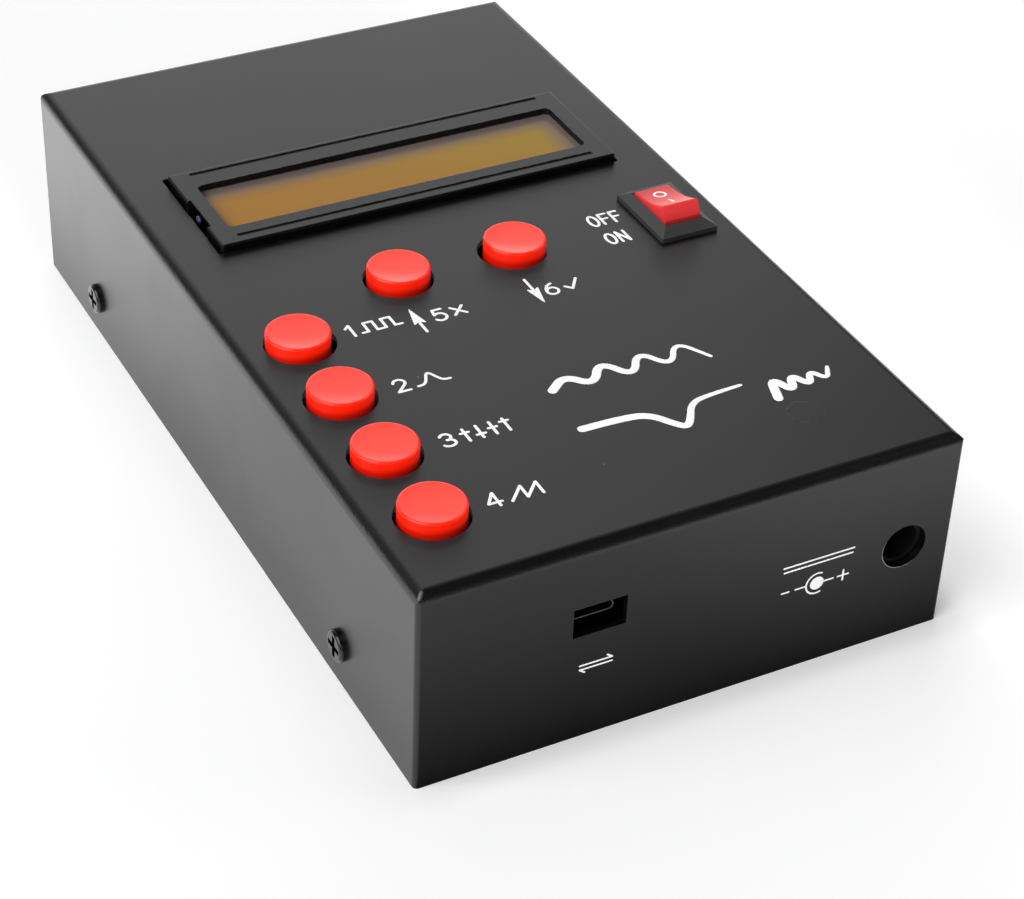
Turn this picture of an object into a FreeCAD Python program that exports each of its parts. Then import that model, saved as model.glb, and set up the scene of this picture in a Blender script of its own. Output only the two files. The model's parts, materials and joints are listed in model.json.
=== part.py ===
import FreeCAD, Part
import math
import os

# A bench antenna analyzer in a folded sheet-metal case, in millimetres.
# X runs across the case, Y from the power end to the aerial end, Z is up.
# The origin is the middle of the case's underside.

V = FreeCAD.Vector
UP = V(0, 0, 1)
DOWN = V(0, 0, -1)
REARWARD = V(0, 1, 0)
FORWARD = V(0, -1, 0)
TOUCH = 1e-6

# Case: a five-sided folded cover, closed below by a tray with two turned-up flanges
case_height = 34.65
display_side_room = 2.95
room_behind_display = 31.05
sheet = 1.0
bend_radius = 1.8
case_corner_radius = 0.8
least_inner_radius = 0.2
tray_gap = 0.2
tray_corner_radius = 1.0
tray_flange_height = 13.0
tray_flange_setback = 8.0
tray_collar_radius = 2.4
tray_collar_length = 1.2

# Four screws hold the cover to the tray's flanges, two in each long side
case_screw_height = 7.3
case_screw_span = 99.7
case_screw_radius = 1.45
case_screw_thread_gap = 0.05
case_screw_hole_gap = 0.15
case_screw_head_radius = 2.55
case_screw_head_height = 1.1
case_screw_past_collar = 1.3
recess_width = 0.9
recess_length = 3.7
recess_depth = 0.75
head_rounding = 0.7

# Main board, hung under the cover on hexagonal pillars
pillar_length = 8.7
pillar_across_flats = 5.5
pillar_bore_radius = 1.25
pillar_bore_depth = 6.5
board_thickness = 1.6
board_side_gap = 1.4
board_front_gap = 1.8
board_rear_gap = 7.4
pillar_front_inset = 5.6
pillar_front_side_inset = 17.1
pillar_rear_inset = 6.0
pillar_rear_side_inset = 4.5
board_screw_radius = 1.2
board_screw_length = 6.0
board_screw_across_flats = 5.0
board_screw_head_height = 1.7
board_hole_gap = 0.2

# Six push keys: a column of four beside the left wall and a pair behind them
key_column_inset = 9.55
key_front_inset = 15.15
key_pitch = 15.24
key_column_count = 4
key_row_rise = 10.15
key_row_offset = 21.3
key_row_pitch = 20.2
key_cap_radius = 4.97
key_hole_gap = 0.62
key_hole_shifts = {1: 0.3, 6: -0.4}  # holes punched off centre from their keys, along X by key number
key_cap_proud = 2.3
key_cap_rounding = 0.35
key_dish_depth = 0.35
key_dish_margin = 0.45
key_skirt_depth = 2.3
key_stem_side = 3.8
key_stem_grip = 0.02
key_stem_foot_radius = 3.3
key_stem_foot_height = 1.1
key_stem_gap = 0.15
switch_side = 12.0
switch_body_height = 3.5
switch_chamfer = 1.0
switch_height = 7.3
switch_plate = 0.3
switch_plate_margin = 0.4
switch_well_depth = 2.6
switch_leg_width = 1.0
switch_leg_thickness = 0.5
switch_leg_spacing = 5.0
switch_leg_past_board = 1.4
leg_slot_gap = 0.15

# Sixteen-by-two character display: board, light, glass and folded metal bezel
display_rise = 29.28
bezel_width = 70.3
bezel_depth = 23.3
bezel_height = 6.6
bezel_proud = 1.4
bezel_sheet = 0.5
bezel_corner_radius = 0.5
bezel_edge_radius = 0.35
bezel_side_gap = 0.5
bezel_front_gap = 0.15
bezel_rear_gap = 1.4
window_side_margin = 3.05
window_edge_margin = 4.8
window_forward = 0.1
window_corner_radius = 1.0
window_lip_depth = 1.2
bezel_groove_end_margin = 3.4
bezel_groove_radius = 0.5
bezel_groove_depth = 0.25
bezel_groove_front_inset = 2.0
bezel_groove_rear_inset = 1.2
bezel_notch_length = 8.6
bezel_notch_depth = 0.7
bezel_notch_forward = 1.2
bezel_tab_width = 2.4
bezel_tab_length = 2.4
bezel_tab_inset = 9.0
tab_slot_gap = 0.15
glass_gap = 0.2
glass_thickness = 2.2
light_margin = 4.0
light_gap = 0.1
strip_depth = 1.8
strip_gap = 0.6
lcd_board_side_margin = 4.85
lcd_board_edge_margin = 6.35
lcd_hole_inset = 2.5
lcd_spacer_radius = 2.2
lcd_screw_radius = 1.0
lcd_screw_hole_gap = 0.2
lcd_screw_length = 3.8
lcd_screw_across_flats = 4.0
lcd_screw_head_height = 1.2
chip_blob_radius = 4.5
chip_blob_height = 1.1
chip_blob_span = 26.0
header_count = 16
header_spacing = 2.54
header_side_inset = 8.0
header_edge_inset = 2.5
header_strip_height = 2.5
header_post_width = 0.64
header_post_out = 1.2
header_hole_radius = 0.5

# Rocker power switch, snapped into the cover near the right wall
rocker_side_inset = 9.5
rocker_behind_row = -0.62
rocker_frame_width = 10.0
rocker_frame_length = 15.0
rocker_rim_height = 0.8
rocker_rim_overhang = 0.8
rocker_bevel_height = 1.0
rocker_body_depth = 12.0
rocker_slot_gap = 0.1
rocker_side_wall = 0.75
rocker_end_wall = 1.15
rocker_floor = 1.2
rocker_clip_proud = 0.5
rocker_clip_length = 3.0
rocker_clip_width = 3.0
paddle_side_gap = 0.25
paddle_end_gap = 0.25
paddle_pivot_rise = 0.4
paddle_end_height = 3.0
paddle_top_hollow = 0.55
paddle_top_setback = 0.7
paddle_waist_height = 0.6
paddle_skirt_drop = 2.2
paddle_skirt_setback = 1.1
paddle_tilt = 14.0
paddle_rounding = 0.4
trunnion_radius = 0.9
trunnion_gap = 0.05
trunnion_length = 0.6
stem_radius = 1.7
stem_lever_room = 3.1
plunger_radius = 0.9
plunger_fit = 0.05
plunger_lever_gap = 0.2
plunger_bore_roof = 1.4
plunger_length = 3.4
spring_wire = 0.22
spring_turns = 5
lever_floor_gap = 1.3
lever_half_length = 4.4
lever_width = 3.0
lever_thickness = 0.8
lever_groove_radius = 0.4
lever_ratio = 0.6
lever_gap = 0.05
ridge_rise = 0.25
terminal_width = 3.0
terminal_thickness = 0.8
terminal_drop = 6.5
terminal_hole_radius = 0.6
terminal_spacing = 4.6
fixed_contact_gap = 0.1

# Sockets in the front end, under the main board
usb_from_left = 28.34
usb_wide = 7.7
usb_narrow = 6.3
usb_height = 3.9
usb_step_low = 1.4
usb_step_high = 2.1
usb_length = 9.2
usb_skin = 0.35
usb_mouth_gap = 2.0
usb_tongue_width = 4.6
usb_tongue_thickness = 1.0
usb_tongue_setback = 1.2
usb_base_length = 2.4
usb_cut_margin_x = 0.4
usb_cut_margin_z = 0.6
dc_from_right = 8.3
dc_width = 9.0
dc_drop = 11.0
dc_length = 14.2
dc_axis_drop = 6.6
dc_mouth_gap = 0.4
dc_mouth_radius = 3.15
dc_mouth_depth = 9.5
dc_pin_radius = 1.05
dc_pin_root_radius = 1.4
dc_pin_setback = 3.4
dc_pin_tip = 0.4
dc_hole_radius = 3.8
dc_shoulder_length = 3.4
dc_shoulder_drop = 0.6

# Aerial socket in the rear end: a square-flanged coaxial jack
aerial_height = 15.6
aerial_flange_side = 25.4
aerial_flange_thickness = 1.6
aerial_flange_rounding = 1.5
aerial_screw_spacing = 18.2
aerial_barrel_radius = 7.94
aerial_barrel_length = 15.0
aerial_barrel_chamfer = 0.5
aerial_bore_radius = 6.05
aerial_bore_depth = 11.0
aerial_notch_width = 1.6
aerial_notch_depth = 1.2
aerial_notch_count = 4
aerial_collar_radius = 7.4
aerial_collar_length = 3.0
aerial_panel_gap = 0.3
insulator_radius = 5.0
insulator_tail = 2.0
insulator_tail_radius = 4.2
contact_radius = 2.9
contact_bore_radius = 2.0
contact_bore_depth = 10.5
contact_setback = 1.5
contact_slot_width = 0.5
contact_slot_depth = 6.0
contact_tail_radius = 1.6
contact_tail_length = 5.0
contact_cup_radius = 0.9
contact_cup_depth = 3.0
aerial_screw_radius = 1.45
aerial_screw_hole_gap = 0.15
aerial_screw_head_radius = 2.7
aerial_screw_head_height = 1.5
aerial_nut_across_flats = 5.5
aerial_nut_height = 2.4
aerial_screw_past_nut = 0.6
aerial_lead_radius = 0.7
aerial_lead_run = 7.0
aerial_lead_bend = 3.0

# Parts soldered to the main board; places are measured from its centre line and front edge,
# or as insets from its rear and left edges
controller_size = (34.7, 7.1, 3.3)
controller_place = (8.5, 40.0)
controller_leg_count = 14
controller_leg_pitch = 2.54
controller_lift = 0.5
controller_leg_width = 0.5
controller_leg_reach = 0.9
synthesizer_size = (10.2, 5.3, 1.8)
synthesizer_place = (14.0, 96.0)
usb_chip_size = (5.3, 7.2, 1.7)
usb_chip_place = (-15.5, 20.0)
oscillator_size = (20.8, 13.2, 5.1)
oscillator_place = (-14.0, 96.0)
oscillator_corner = 2.0
regulator_place = (19.0, 19.0)
regulator_body = (10.2, 9.0, 4.4)
regulator_tab_length = 6.2
regulator_tab_thickness = 1.3
regulator_hole_radius = 1.8
regulator_leg_length = 4.0
regulator_leg_side = 0.8
regulator_leg_pitch = 2.54
sink_size = (15.0, 17.0)
sink_base = 1.2
sink_fin_height = 5.5
sink_fin_thickness = 1.0
capacitor_radius = 4.0
capacitor_height = 11.5
capacitor_places = ((24.0, 24.0), (24.0, 34.0), (12.0, 24.0))
capacitor_rim = 0.5
capacitor_bead_height = 1.5
capacitor_bead_depth = 0.35
ring_core_radius = 4.75
ring_core_bore = 2.4
ring_core_height = 3.3
ring_core_rear_inset = 18.0
ring_core_lift = 0.6
winding_turns = 12
winding_wire = 0.4
winding_gap = 0.06
resistor_radius = 1.15
resistor_length = 6.4
resistor_offset = 14.0
resistor_rear_insets = (15.5, 19.5)
resistor_lead_radius = 0.3
resistor_lead_reach = 1.9
resistor_lead_bend = 0.7
trimmer_side = 6.8
trimmer_height = 4.8
trimmer_side_inset = 11.1
trimmer_rear_inset = 18.5
trimmer_rotor_radius = 2.0
trimmer_rotor_gap = 0.05
trimmer_rotor_depth = 1.2
trimmer_slot_width = 0.6
trimmer_slot_depth = 0.6
power_lead_radius = 0.7
power_lead_drop = 3.5
power_lead_bend = 2.5
power_lead_reach = 11.0

# Levels and places worked out from the values above
key_row_from_front = key_front_inset + (key_column_count - 1) * key_pitch + key_row_rise
lcd_from_front = key_row_from_front + display_rise
lcd_board_width = bezel_width + 2 * lcd_board_side_margin
lcd_board_depth = bezel_depth + 2 * lcd_board_edge_margin
case_width = lcd_board_width + 2 * (display_side_room + sheet)
case_length = lcd_from_front + lcd_board_depth / 2 + room_behind_display
case_front = -case_length / 2
case_rear = case_length / 2
case_left = -case_width / 2
case_right = case_width / 2
cover_under = case_height - sheet
inner_front = case_front + sheet
inner_rear = case_rear - sheet
inner_side = case_right - sheet
inner_bend = max(bend_radius - sheet, least_inner_radius)
board_top = cover_under - pillar_length
board_under = board_top - board_thickness
board_half_width = inner_side - board_side_gap
board_front = inner_front + board_front_gap
board_rear = inner_rear - board_rear_gap
stem_top = board_top + switch_height
cap_foot = stem_top - key_skirt_depth
cap_top = case_height + key_cap_proud
bezel_top = case_height + bezel_proud
lcd_board_top = bezel_top - bezel_height
lcd_board_under = lcd_board_top - board_thickness
lcd_y = case_front + lcd_from_front
window_width = bezel_width - 2 * window_side_margin
window_depth = bezel_depth - 2 * window_edge_margin
light_depth = bezel_depth - 2 * light_margin
window_y = lcd_y - window_forward
glass_top = bezel_top - window_lip_depth
glass_under = glass_top - glass_thickness
rocker_x = case_right - rocker_side_inset
rocker_y = case_front + key_row_from_front + rocker_behind_row
rocker_body_width = rocker_frame_width - 2 * rocker_rim_overhang
rocker_body_length = rocker_frame_length - 2 * rocker_rim_overhang
rocker_opening_width = rocker_body_width - 2 * rocker_side_wall
rocker_opening_length = rocker_body_length - 2 * rocker_end_wall
paddle_width = rocker_opening_width - 2 * paddle_side_gap
paddle_waist_half_length = rocker_opening_length / 2 - paddle_end_gap
pivot_z = case_height + paddle_pivot_rise
rocker_floor_top = case_height - rocker_body_depth + rocker_floor
lever_z = rocker_floor_top + lever_floor_gap + lever_thickness
stem_length = pivot_z - lever_z - stem_lever_room
plunger_reach = pivot_z - lever_z - plunger_lever_gap
plunger_bore_depth = stem_length - plunger_bore_roof
usb_x = case_left + usb_from_left
usb_front = inner_front + usb_mouth_gap
dc_x = case_right - dc_from_right
dc_front = inner_front + dc_mouth_gap
dc_axis_z = board_under - dc_axis_drop
aerial_face = case_rear + aerial_flange_thickness
aerial_mouth = aerial_face + aerial_barrel_length
tray_half_width = inner_side - tray_gap


def block(x, y, z, width, depth, height):
    """A box centred on x and y that stands on z."""
    return Part.makeBox(width, depth, height, V(x - width / 2, y - depth / 2, z))


def rod(x, y, z, radius, length, direction=UP):
    return Part.makeCylinder(radius, length, V(x, y, z), direction)


def upright_edges(shape):
    def is_upright(edge):
        ends = [v.Point for v in edge.Vertexes]
        return len(ends) == 2 and math.hypot(ends[0].x - ends[1].x, ends[0].y - ends[1].y) < TOUCH

    return [e for e in shape.Edges if is_upright(e)]


def edges_at(shape, z):
    return [e for e in shape.Edges if all(abs(v.Z - z) < TOUCH for v in e.Vertexes)]


def rounded_block(x, y, z, width, depth, height, corner_radius):
    shape = block(x, y, z, width, depth, height)
    return shape.makeFillet(corner_radius, upright_edges(shape))


def folded_box(y, z, width, depth, height, corner_radius, top_radius):
    """A box whose bent top edges meet in mitres at its corners, as sheet folds."""
    box = block(0, y, z, width, depth, height)
    shape = box.makeFillet(corner_radius, upright_edges(box))
    for across in (V(1, 0, 0), V(0, 1, 0)):
        bends = [e for e in edges_at(box, z + height)
                 if abs((e.Vertexes[-1].Point - e.Vertexes[0].Point).dot(across)) < TOUCH]
        shape = shape.common(box.makeFillet(top_radius, bends))
    return shape


def rectangle(x, y, z, width, depth):
    """A level rectangle's outline, centred on x and y."""
    right, left = x + width / 2, x - width / 2
    front, rear = y - depth / 2, y + depth / 2
    return Part.makePolygon([V(left, front, z), V(right, front, z), V(right, rear, z), V(left, rear, z),
                             V(left, front, z)])


def prism(points, travel):
    """A closed outline of points pushed along a vector."""
    return Part.Face(Part.makePolygon(points + points[:1])).extrude(travel)


def turned(points, centre, axis):
    """A closed outline turned once round an axis through centre."""
    return Part.Face(Part.makePolygon(points + points[:1])).revolve(centre, axis, 360)


def hexagon(x, y, z, across_flats, height, direction=UP):
    corner = across_flats / math.sqrt(3)
    corners = [V(corner * math.cos(math.radians(60 * k)), corner * math.sin(math.radians(60 * k)), 0)
               for k in range(6)]
    return aimed(prism(corners, V(0, 0, height)), V(x, y, z), direction)


def aimed(shape, place, direction):
    """The shape turned so that its own +Z points along direction, then moved to place."""
    moved = shape.copy()
    moved.Placement = FreeCAD.Placement(place, FreeCAD.Rotation(UP, direction))
    return moved


def cross_recess(top, depth, width, length):
    one = block(0, 0, top - depth, width, length, depth * 2)
    other = block(0, 0, top - depth, length, width, depth * 2)
    return one.fuse(other)


def pan_screw(shank_radius, shank_length, head_radius, head_height):
    """A cross-recessed pan-head screw whose head stands on z = 0, with its shank below."""
    head = rod(0, 0, 0, head_radius, head_height)
    head = head.makeFillet(min(head_rounding, head_height / 2), edges_at(head, head_height))
    head = head.cut(cross_recess(head_height, recess_depth, recess_width, recess_length))
    return head.fuse(rod(0, 0, 0, shank_radius, shank_length, DOWN))


def hex_screw(shank_radius, shank_length, across_flats, head_height):
    """A hexagon-head screw whose head stands on z = 0, with its shank below."""
    head = hexagon(0, 0, 0, across_flats, head_height)
    return head.fuse(rod(0, 0, 0, shank_radius, shank_length, DOWN))


def wire_through(points, bends, radius):
    """A round wire along straight runs joined by tangent arcs, one bend radius for each inner point."""
    edges = []
    start = points[0]
    for before, corner, after, bend in zip(points, points[1:], points[2:], bends):
        back = (before - corner).normalize()
        on = (after - corner).normalize()
        half = back.getAngle(on) / 2
        reach = bend / math.tan(half)
        inward = (back + on).normalize()
        middle = corner + inward * (bend / math.sin(half) - bend)
        edges.append(Part.LineSegment(start, corner + back * reach).toShape())
        edges.append(Part.Arc(corner + back * reach, middle, corner + on * reach).toShape())
        start = corner + on * reach
    edges.append(Part.LineSegment(start, points[-1]).toShape())
    section = Part.Wire(Part.Circle(points[0], points[1] - points[0], radius).toShape())
    return Part.Wire(edges).makePipeShell([section], True, False)


# ---- Case ----

def key_places():
    column_x = case_left + key_column_inset
    row_y = case_front + key_row_from_front
    first_y = row_y - key_row_rise
    column = [(column_x, first_y - k * key_pitch) for k in range(key_column_count)]
    row_x = column_x + key_row_offset
    return column + [(row_x, row_y), (row_x + key_row_pitch, row_y)]


def case_screw_places():
    return [(side, end * case_screw_span / 2) for side in (-1, 1) for end in (-1, 1)]


def aerial_screw_places():
    half = aerial_screw_spacing / 2
    return [(x, aerial_height + z) for x in (-half, half) for z in (-half, half)]


def usb_outline(inset, y):
    """The socket's stepped outline, hanging under the board, drawn in from the skin's outside by inset."""
    wide = usb_wide / 2 - inset
    narrow = usb_narrow / 2 - inset
    top = board_under - inset
    low = board_under - usb_height + inset
    step_high = board_under - usb_step_low
    step_low = board_under - usb_step_high
    right = [(narrow, top), (narrow, step_high), (wide, step_low), (wide, low)]
    outline = right + [(-x, z) for x, z in reversed(right)]
    return [V(usb_x + x, y, z) for x, z in outline]


def socket_cuts():
    """Cutters for the front end: the small data socket's slot and the round power hole."""
    usb_width = usb_wide + 2 * usb_cut_margin_x
    usb_drop = usb_height + 2 * usb_cut_margin_z
    usb_foot = board_under - usb_height - usb_cut_margin_z
    slot = block(usb_x, case_front, usb_foot, usb_width, 4 * sheet, usb_drop)
    hole = rod(dc_x, inner_front + sheet, dc_axis_z, dc_hole_radius, 4 * sheet, FORWARD)
    return [slot, hole]


def aerial_cuts():
    collar_hole = aerial_collar_radius + aerial_panel_gap
    hole = rod(0, inner_rear - sheet, aerial_height, collar_hole, 4 * sheet, REARWARD)
    screw_hole = aerial_screw_radius + aerial_screw_hole_gap
    screws = [rod(x, inner_rear - sheet, z, screw_hole, 4 * sheet, REARWARD)
              for x, z in aerial_screw_places()]
    return [hole] + screws


def panel_cuts():
    """Cutters for the top: keys, display and rocker."""
    hole = key_cap_radius + key_hole_gap
    keys = [rod(x + key_hole_shifts.get(number, 0), y, cover_under - sheet, hole, 4 * sheet)
            for number, (x, y) in enumerate(key_places(), start=1)]
    display = rounded_block(0, lcd_y + (bezel_rear_gap - bezel_front_gap) / 2, cover_under - sheet,
                            bezel_width + 2 * bezel_side_gap, bezel_depth + bezel_front_gap + bezel_rear_gap,
                            4 * sheet, bezel_corner_radius)
    rocker = block(rocker_x, rocker_y, cover_under - sheet, rocker_body_width + 2 * rocker_slot_gap,
                   rocker_body_length + 2 * rocker_slot_gap, 4 * sheet)
    return keys + [display, rocker]


def make_cover():
    outer = folded_box(0, 0, case_width, case_length, case_height, case_corner_radius, bend_radius)
    inner = folded_box(0, 0, case_width - 2 * sheet, case_length - 2 * sheet, cover_under,
                       least_inner_radius, inner_bend)
    cover = outer.cut(inner)
    screw_hole = case_screw_radius + case_screw_hole_gap
    screws = [rod(side * (inner_side - sheet), y, case_screw_height, screw_hole, 4 * sheet, V(side, 0, 0))
              for side, y in case_screw_places()]
    return cover.cut(panel_cuts() + socket_cuts() + aerial_cuts() + screws)


def long_edges(shape, z, half_width):
    """Edges along Y at height z and at half_width either side of the middle."""
    def is_long(edge):
        ends = edge.Vertexes
        level = all(abs(v.Z - z) < TOUCH and abs(abs(v.X) - half_width) < TOUCH for v in ends)
        return level and abs(ends[0].X - ends[-1].X) < TOUCH

    return [e for e in shape.Edges if is_long(e)]


def make_tray():
    length = case_length - 2 * sheet - 2 * tray_gap
    inner_half = tray_half_width - sheet
    tray = block(0, 0, 0, 2 * tray_half_width, length, tray_flange_height)
    tray = tray.cut(block(0, 0, sheet, 2 * inner_half, length, tray_flange_height))
    tray = tray.makeFillet(bend_radius, long_edges(tray, 0, tray_half_width))
    tray = tray.makeFillet(inner_bend, long_edges(tray, sheet, inner_half))
    tray = tray.common(rounded_block(0, 0, 0, 2 * tray_half_width, length, tray_flange_height,
                                     tray_corner_radius))
    relief_depth = 2 * tray_flange_setback
    for end in (-1, 1):
        tray = tray.cut(block(0, end * length / 2, bend_radius, case_width, relief_depth, tray_flange_height))
    hole = case_screw_radius + case_screw_thread_gap
    for side, y in case_screw_places():
        collar = rod(side * (inner_half + sheet / 2), y, case_screw_height, tray_collar_radius,
                     tray_collar_length + sheet / 2, V(-side, 0, 0))
        tray = tray.fuse(collar)
        reach = 2 * sheet + tray_collar_length
        tray = tray.cut(rod(side * case_right, y, case_screw_height, hole, 2 * reach, V(-side, 0, 0)))
    return tray


def make_case_screws():
    length = 2 * sheet + tray_gap + tray_collar_length + case_screw_past_collar
    screw = pan_screw(case_screw_radius, length, case_screw_head_radius, case_screw_head_height)
    return [aimed(screw, V(side * case_right, y, case_screw_height), V(side, 0, 0))
            for side, y in case_screw_places()]


# ---- Main board ----

def pillar_places():
    front_x = board_half_width - pillar_front_side_inset
    rear_x = board_half_width - pillar_rear_side_inset
    rear_y = board_rear - pillar_rear_inset
    front_y = board_front + pillar_front_inset
    return [(-front_x, front_y), (front_x, front_y), (-rear_x, rear_y), (rear_x, rear_y)]


def header_places():
    y = lcd_y + lcd_board_depth / 2 - header_edge_inset
    first_x = header_side_inset - lcd_board_width / 2
    return [(first_x + k * header_spacing, y) for k in range(header_count)]


def lcd_screw_places():
    x = lcd_board_width / 2 - lcd_hole_inset
    y = lcd_board_depth / 2 - lcd_hole_inset
    return [(side * x, lcd_y + end * y) for side in (-1, 1) for end in (-1, 1)]


def switch_leg_places():
    half = switch_side / 2 - switch_leg_thickness / 2
    return [(x + side * half, y + end * switch_leg_spacing / 2)
            for x, y in key_places() for side in (-1, 1) for end in (-1, 1)]


def make_main_board():
    length = board_rear - board_front
    middle = (board_rear + board_front) / 2
    board = block(0, middle, board_under, 2 * board_half_width, length, board_thickness)
    notch_left = rocker_x - rocker_body_width / 2 - rocker_clip_proud - board_hole_gap
    notch_depth = rocker_body_length + 2 * rocker_clip_proud + 2 * board_hole_gap
    notch_width = case_width / 2 - notch_left
    notch_x = notch_left + notch_width / 2
    cutters = [block(notch_x, rocker_y, board_under, notch_width, notch_depth, board_thickness)]
    screw_hole = board_screw_radius + board_hole_gap
    cutters += [rod(x, y, board_under, screw_hole, board_thickness) for x, y in pillar_places()]
    cutters += [rod(x, y, board_under, header_hole_radius, board_thickness) for x, y in header_places()]
    slot_width = switch_leg_thickness + 2 * leg_slot_gap
    slot_depth = switch_leg_width + 2 * leg_slot_gap
    cutters += [block(x, y, board_under, slot_width, slot_depth, board_thickness)
                for x, y in switch_leg_places()]
    return board.cut(cutters)


def make_pillars():
    pillars = []
    for x, y in pillar_places():
        pillar = hexagon(x, y, board_top, pillar_across_flats, pillar_length)
        pillars.append(pillar.cut(rod(x, y, board_top, pillar_bore_radius, pillar_bore_depth)))
    return pillars


def make_board_screws():
    screw = hex_screw(board_screw_radius, board_screw_length, board_screw_across_flats,
                      board_screw_head_height)
    return [aimed(screw, V(x, y, board_under), DOWN) for x, y in pillar_places()]


# ---- Keys ----

def make_key_cap(x, y):
    cap = rod(x, y, cap_foot, key_cap_radius, cap_top - cap_foot)
    cap = cap.makeFillet(key_cap_rounding, edges_at(cap, cap_top))
    dish_radius = key_cap_radius - key_dish_margin
    ball_radius = (dish_radius ** 2 + key_dish_depth ** 2) / (2 * key_dish_depth)
    dish = Part.makeSphere(ball_radius, V(x, y, cap_top - key_dish_depth + ball_radius))
    cap = cap.cut(dish)
    grip = key_stem_side + 2 * key_stem_grip
    return cap.cut(block(x, y, cap_foot, grip, grip, key_skirt_depth))


def make_key_stem(x, y):
    foot = board_top + switch_body_height + switch_plate - key_stem_foot_height
    stem = rod(x, y, foot, key_stem_foot_radius, 2 * key_stem_foot_height)
    return stem.fuse(block(x, y, foot, key_stem_side, key_stem_side, stem_top - foot))


def make_key_switch(x, y):
    """A tactile switch: moulded body with chamfered corners, riveted top plate and four board legs."""
    body = block(x, y, board_top, switch_side, switch_side, switch_body_height)
    body = body.makeChamfer(switch_chamfer, upright_edges(body))
    plate_side = switch_side - 2 * switch_plate_margin
    plate = block(x, y, board_top + switch_body_height, plate_side, plate_side, switch_plate)
    body = body.fuse(plate)
    well = key_stem_foot_radius + key_stem_gap
    well_foot = board_top + switch_body_height + switch_plate - switch_well_depth
    body = body.cut(rod(x, y, well_foot, well, 2 * switch_well_depth))
    leg_length = board_thickness + switch_leg_past_board
    half = switch_side / 2 - switch_leg_thickness / 2
    leg = block(x, y, board_top - leg_length, switch_leg_thickness, switch_leg_width,
                leg_length + switch_body_height / 2)
    for side in (-1, 1):
        for end in (-1, 1):
            body = body.fuse(leg.translated(V(side * half, end * switch_leg_spacing / 2, 0)))
    return body


# ---- Display ----

def bezel_tab_places():
    x = bezel_width / 2 - bezel_tab_inset
    y = bezel_depth / 2 - bezel_sheet / 2
    return [(sx * x, lcd_y + sy * y) for sx in (-1, 1) for sy in (-1, 1)]


def make_bezel():
    skin = 2 * bezel_sheet
    outer = folded_box(lcd_y, lcd_board_top, bezel_width, bezel_depth, bezel_height,
                       bezel_corner_radius, bezel_edge_radius)
    inner = block(0, lcd_y, lcd_board_top, bezel_width - skin, bezel_depth - skin, bezel_height - bezel_sheet)
    bezel = outer.cut(inner)
    lip = block(0, window_y, glass_top, window_width + skin, window_depth + skin,
                window_lip_depth - bezel_sheet)
    window = rounded_block(0, window_y, glass_top, window_width, window_depth, 2 * window_lip_depth,
                           window_corner_radius)
    bezel = bezel.fuse(lip).cut(window)
    groove_z = bezel_top + bezel_groove_radius - bezel_groove_depth
    groove_length = bezel_width - 2 * bezel_groove_end_margin
    for groove_y in (lcd_y - bezel_depth / 2 + bezel_groove_front_inset,
                     lcd_y + bezel_depth / 2 - bezel_groove_rear_inset):
        bezel = bezel.cut(rod(-groove_length / 2, groove_y, groove_z, bezel_groove_radius, groove_length,
                              V(1, 0, 0)))
    bezel = bezel.cut(block(-bezel_width / 2, lcd_y - bezel_notch_forward, lcd_board_top,
                            2 * bezel_notch_depth, bezel_notch_length, bezel_height))
    for x, y in bezel_tab_places():
        bezel = bezel.fuse(block(x, y, lcd_board_top - bezel_tab_length, bezel_tab_width, bezel_sheet,
                                 bezel_tab_length))
    return bezel


def make_glass():
    skin = 2 * (bezel_sheet + glass_gap)
    return block(0, lcd_y, glass_under, bezel_width - skin, bezel_depth - skin, glass_thickness)


def make_light():
    width = bezel_width - 2 * (bezel_sheet + glass_gap)
    return block(0, lcd_y, lcd_board_top, width, light_depth, glass_under - lcd_board_top - light_gap)


def make_strips():
    reach = light_depth / 2 + strip_gap + strip_depth / 2
    height = glass_under - lcd_board_top
    strip = block(0, lcd_y, lcd_board_top, window_width, strip_depth, height)
    return [strip.translated(V(0, side * reach, 0)) for side in (-1, 1)]


def make_lcd_board():
    board = block(0, lcd_y, lcd_board_under, lcd_board_width, lcd_board_depth, board_thickness)
    screw_hole = lcd_screw_radius + lcd_screw_hole_gap
    cutters = [rod(x, y, lcd_board_under, screw_hole, board_thickness) for x, y in lcd_screw_places()]
    cutters += [rod(x, y, lcd_board_under, header_hole_radius, board_thickness) for x, y in header_places()]
    slot_width, slot_depth = bezel_tab_width + 2 * tab_slot_gap, bezel_sheet + 2 * tab_slot_gap
    cutters += [block(x, y, lcd_board_under, slot_width, slot_depth, board_thickness)
                for x, y in bezel_tab_places()]
    board = board.cut(cutters)
    ball_radius = (chip_blob_radius ** 2 + chip_blob_height ** 2) / (2 * chip_blob_height)
    blob_foot = lcd_board_under - chip_blob_height
    blob_side = 3 * chip_blob_radius
    for x in (-chip_blob_span / 2, chip_blob_span / 2):
        ball = Part.makeSphere(ball_radius, V(x, lcd_y, blob_foot + ball_radius))
        slab = block(x, lcd_y, blob_foot, blob_side, blob_side, chip_blob_height + board_thickness / 2)
        board = board.fuse(ball.common(slab))
    return board


def make_lcd_spacers():
    length = lcd_board_under - board_top
    hole = lcd_screw_radius + lcd_screw_hole_gap / 4
    return [rod(x, y, board_top, lcd_spacer_radius, length).cut(rod(x, y, board_top, hole, length))
            for x, y in lcd_screw_places()]


def make_lcd_screws():
    screw = hex_screw(lcd_screw_radius, lcd_screw_length, lcd_screw_across_flats, lcd_screw_head_height)
    return [aimed(screw, V(x, y, lcd_board_top), UP) for x, y in lcd_screw_places()]


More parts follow.
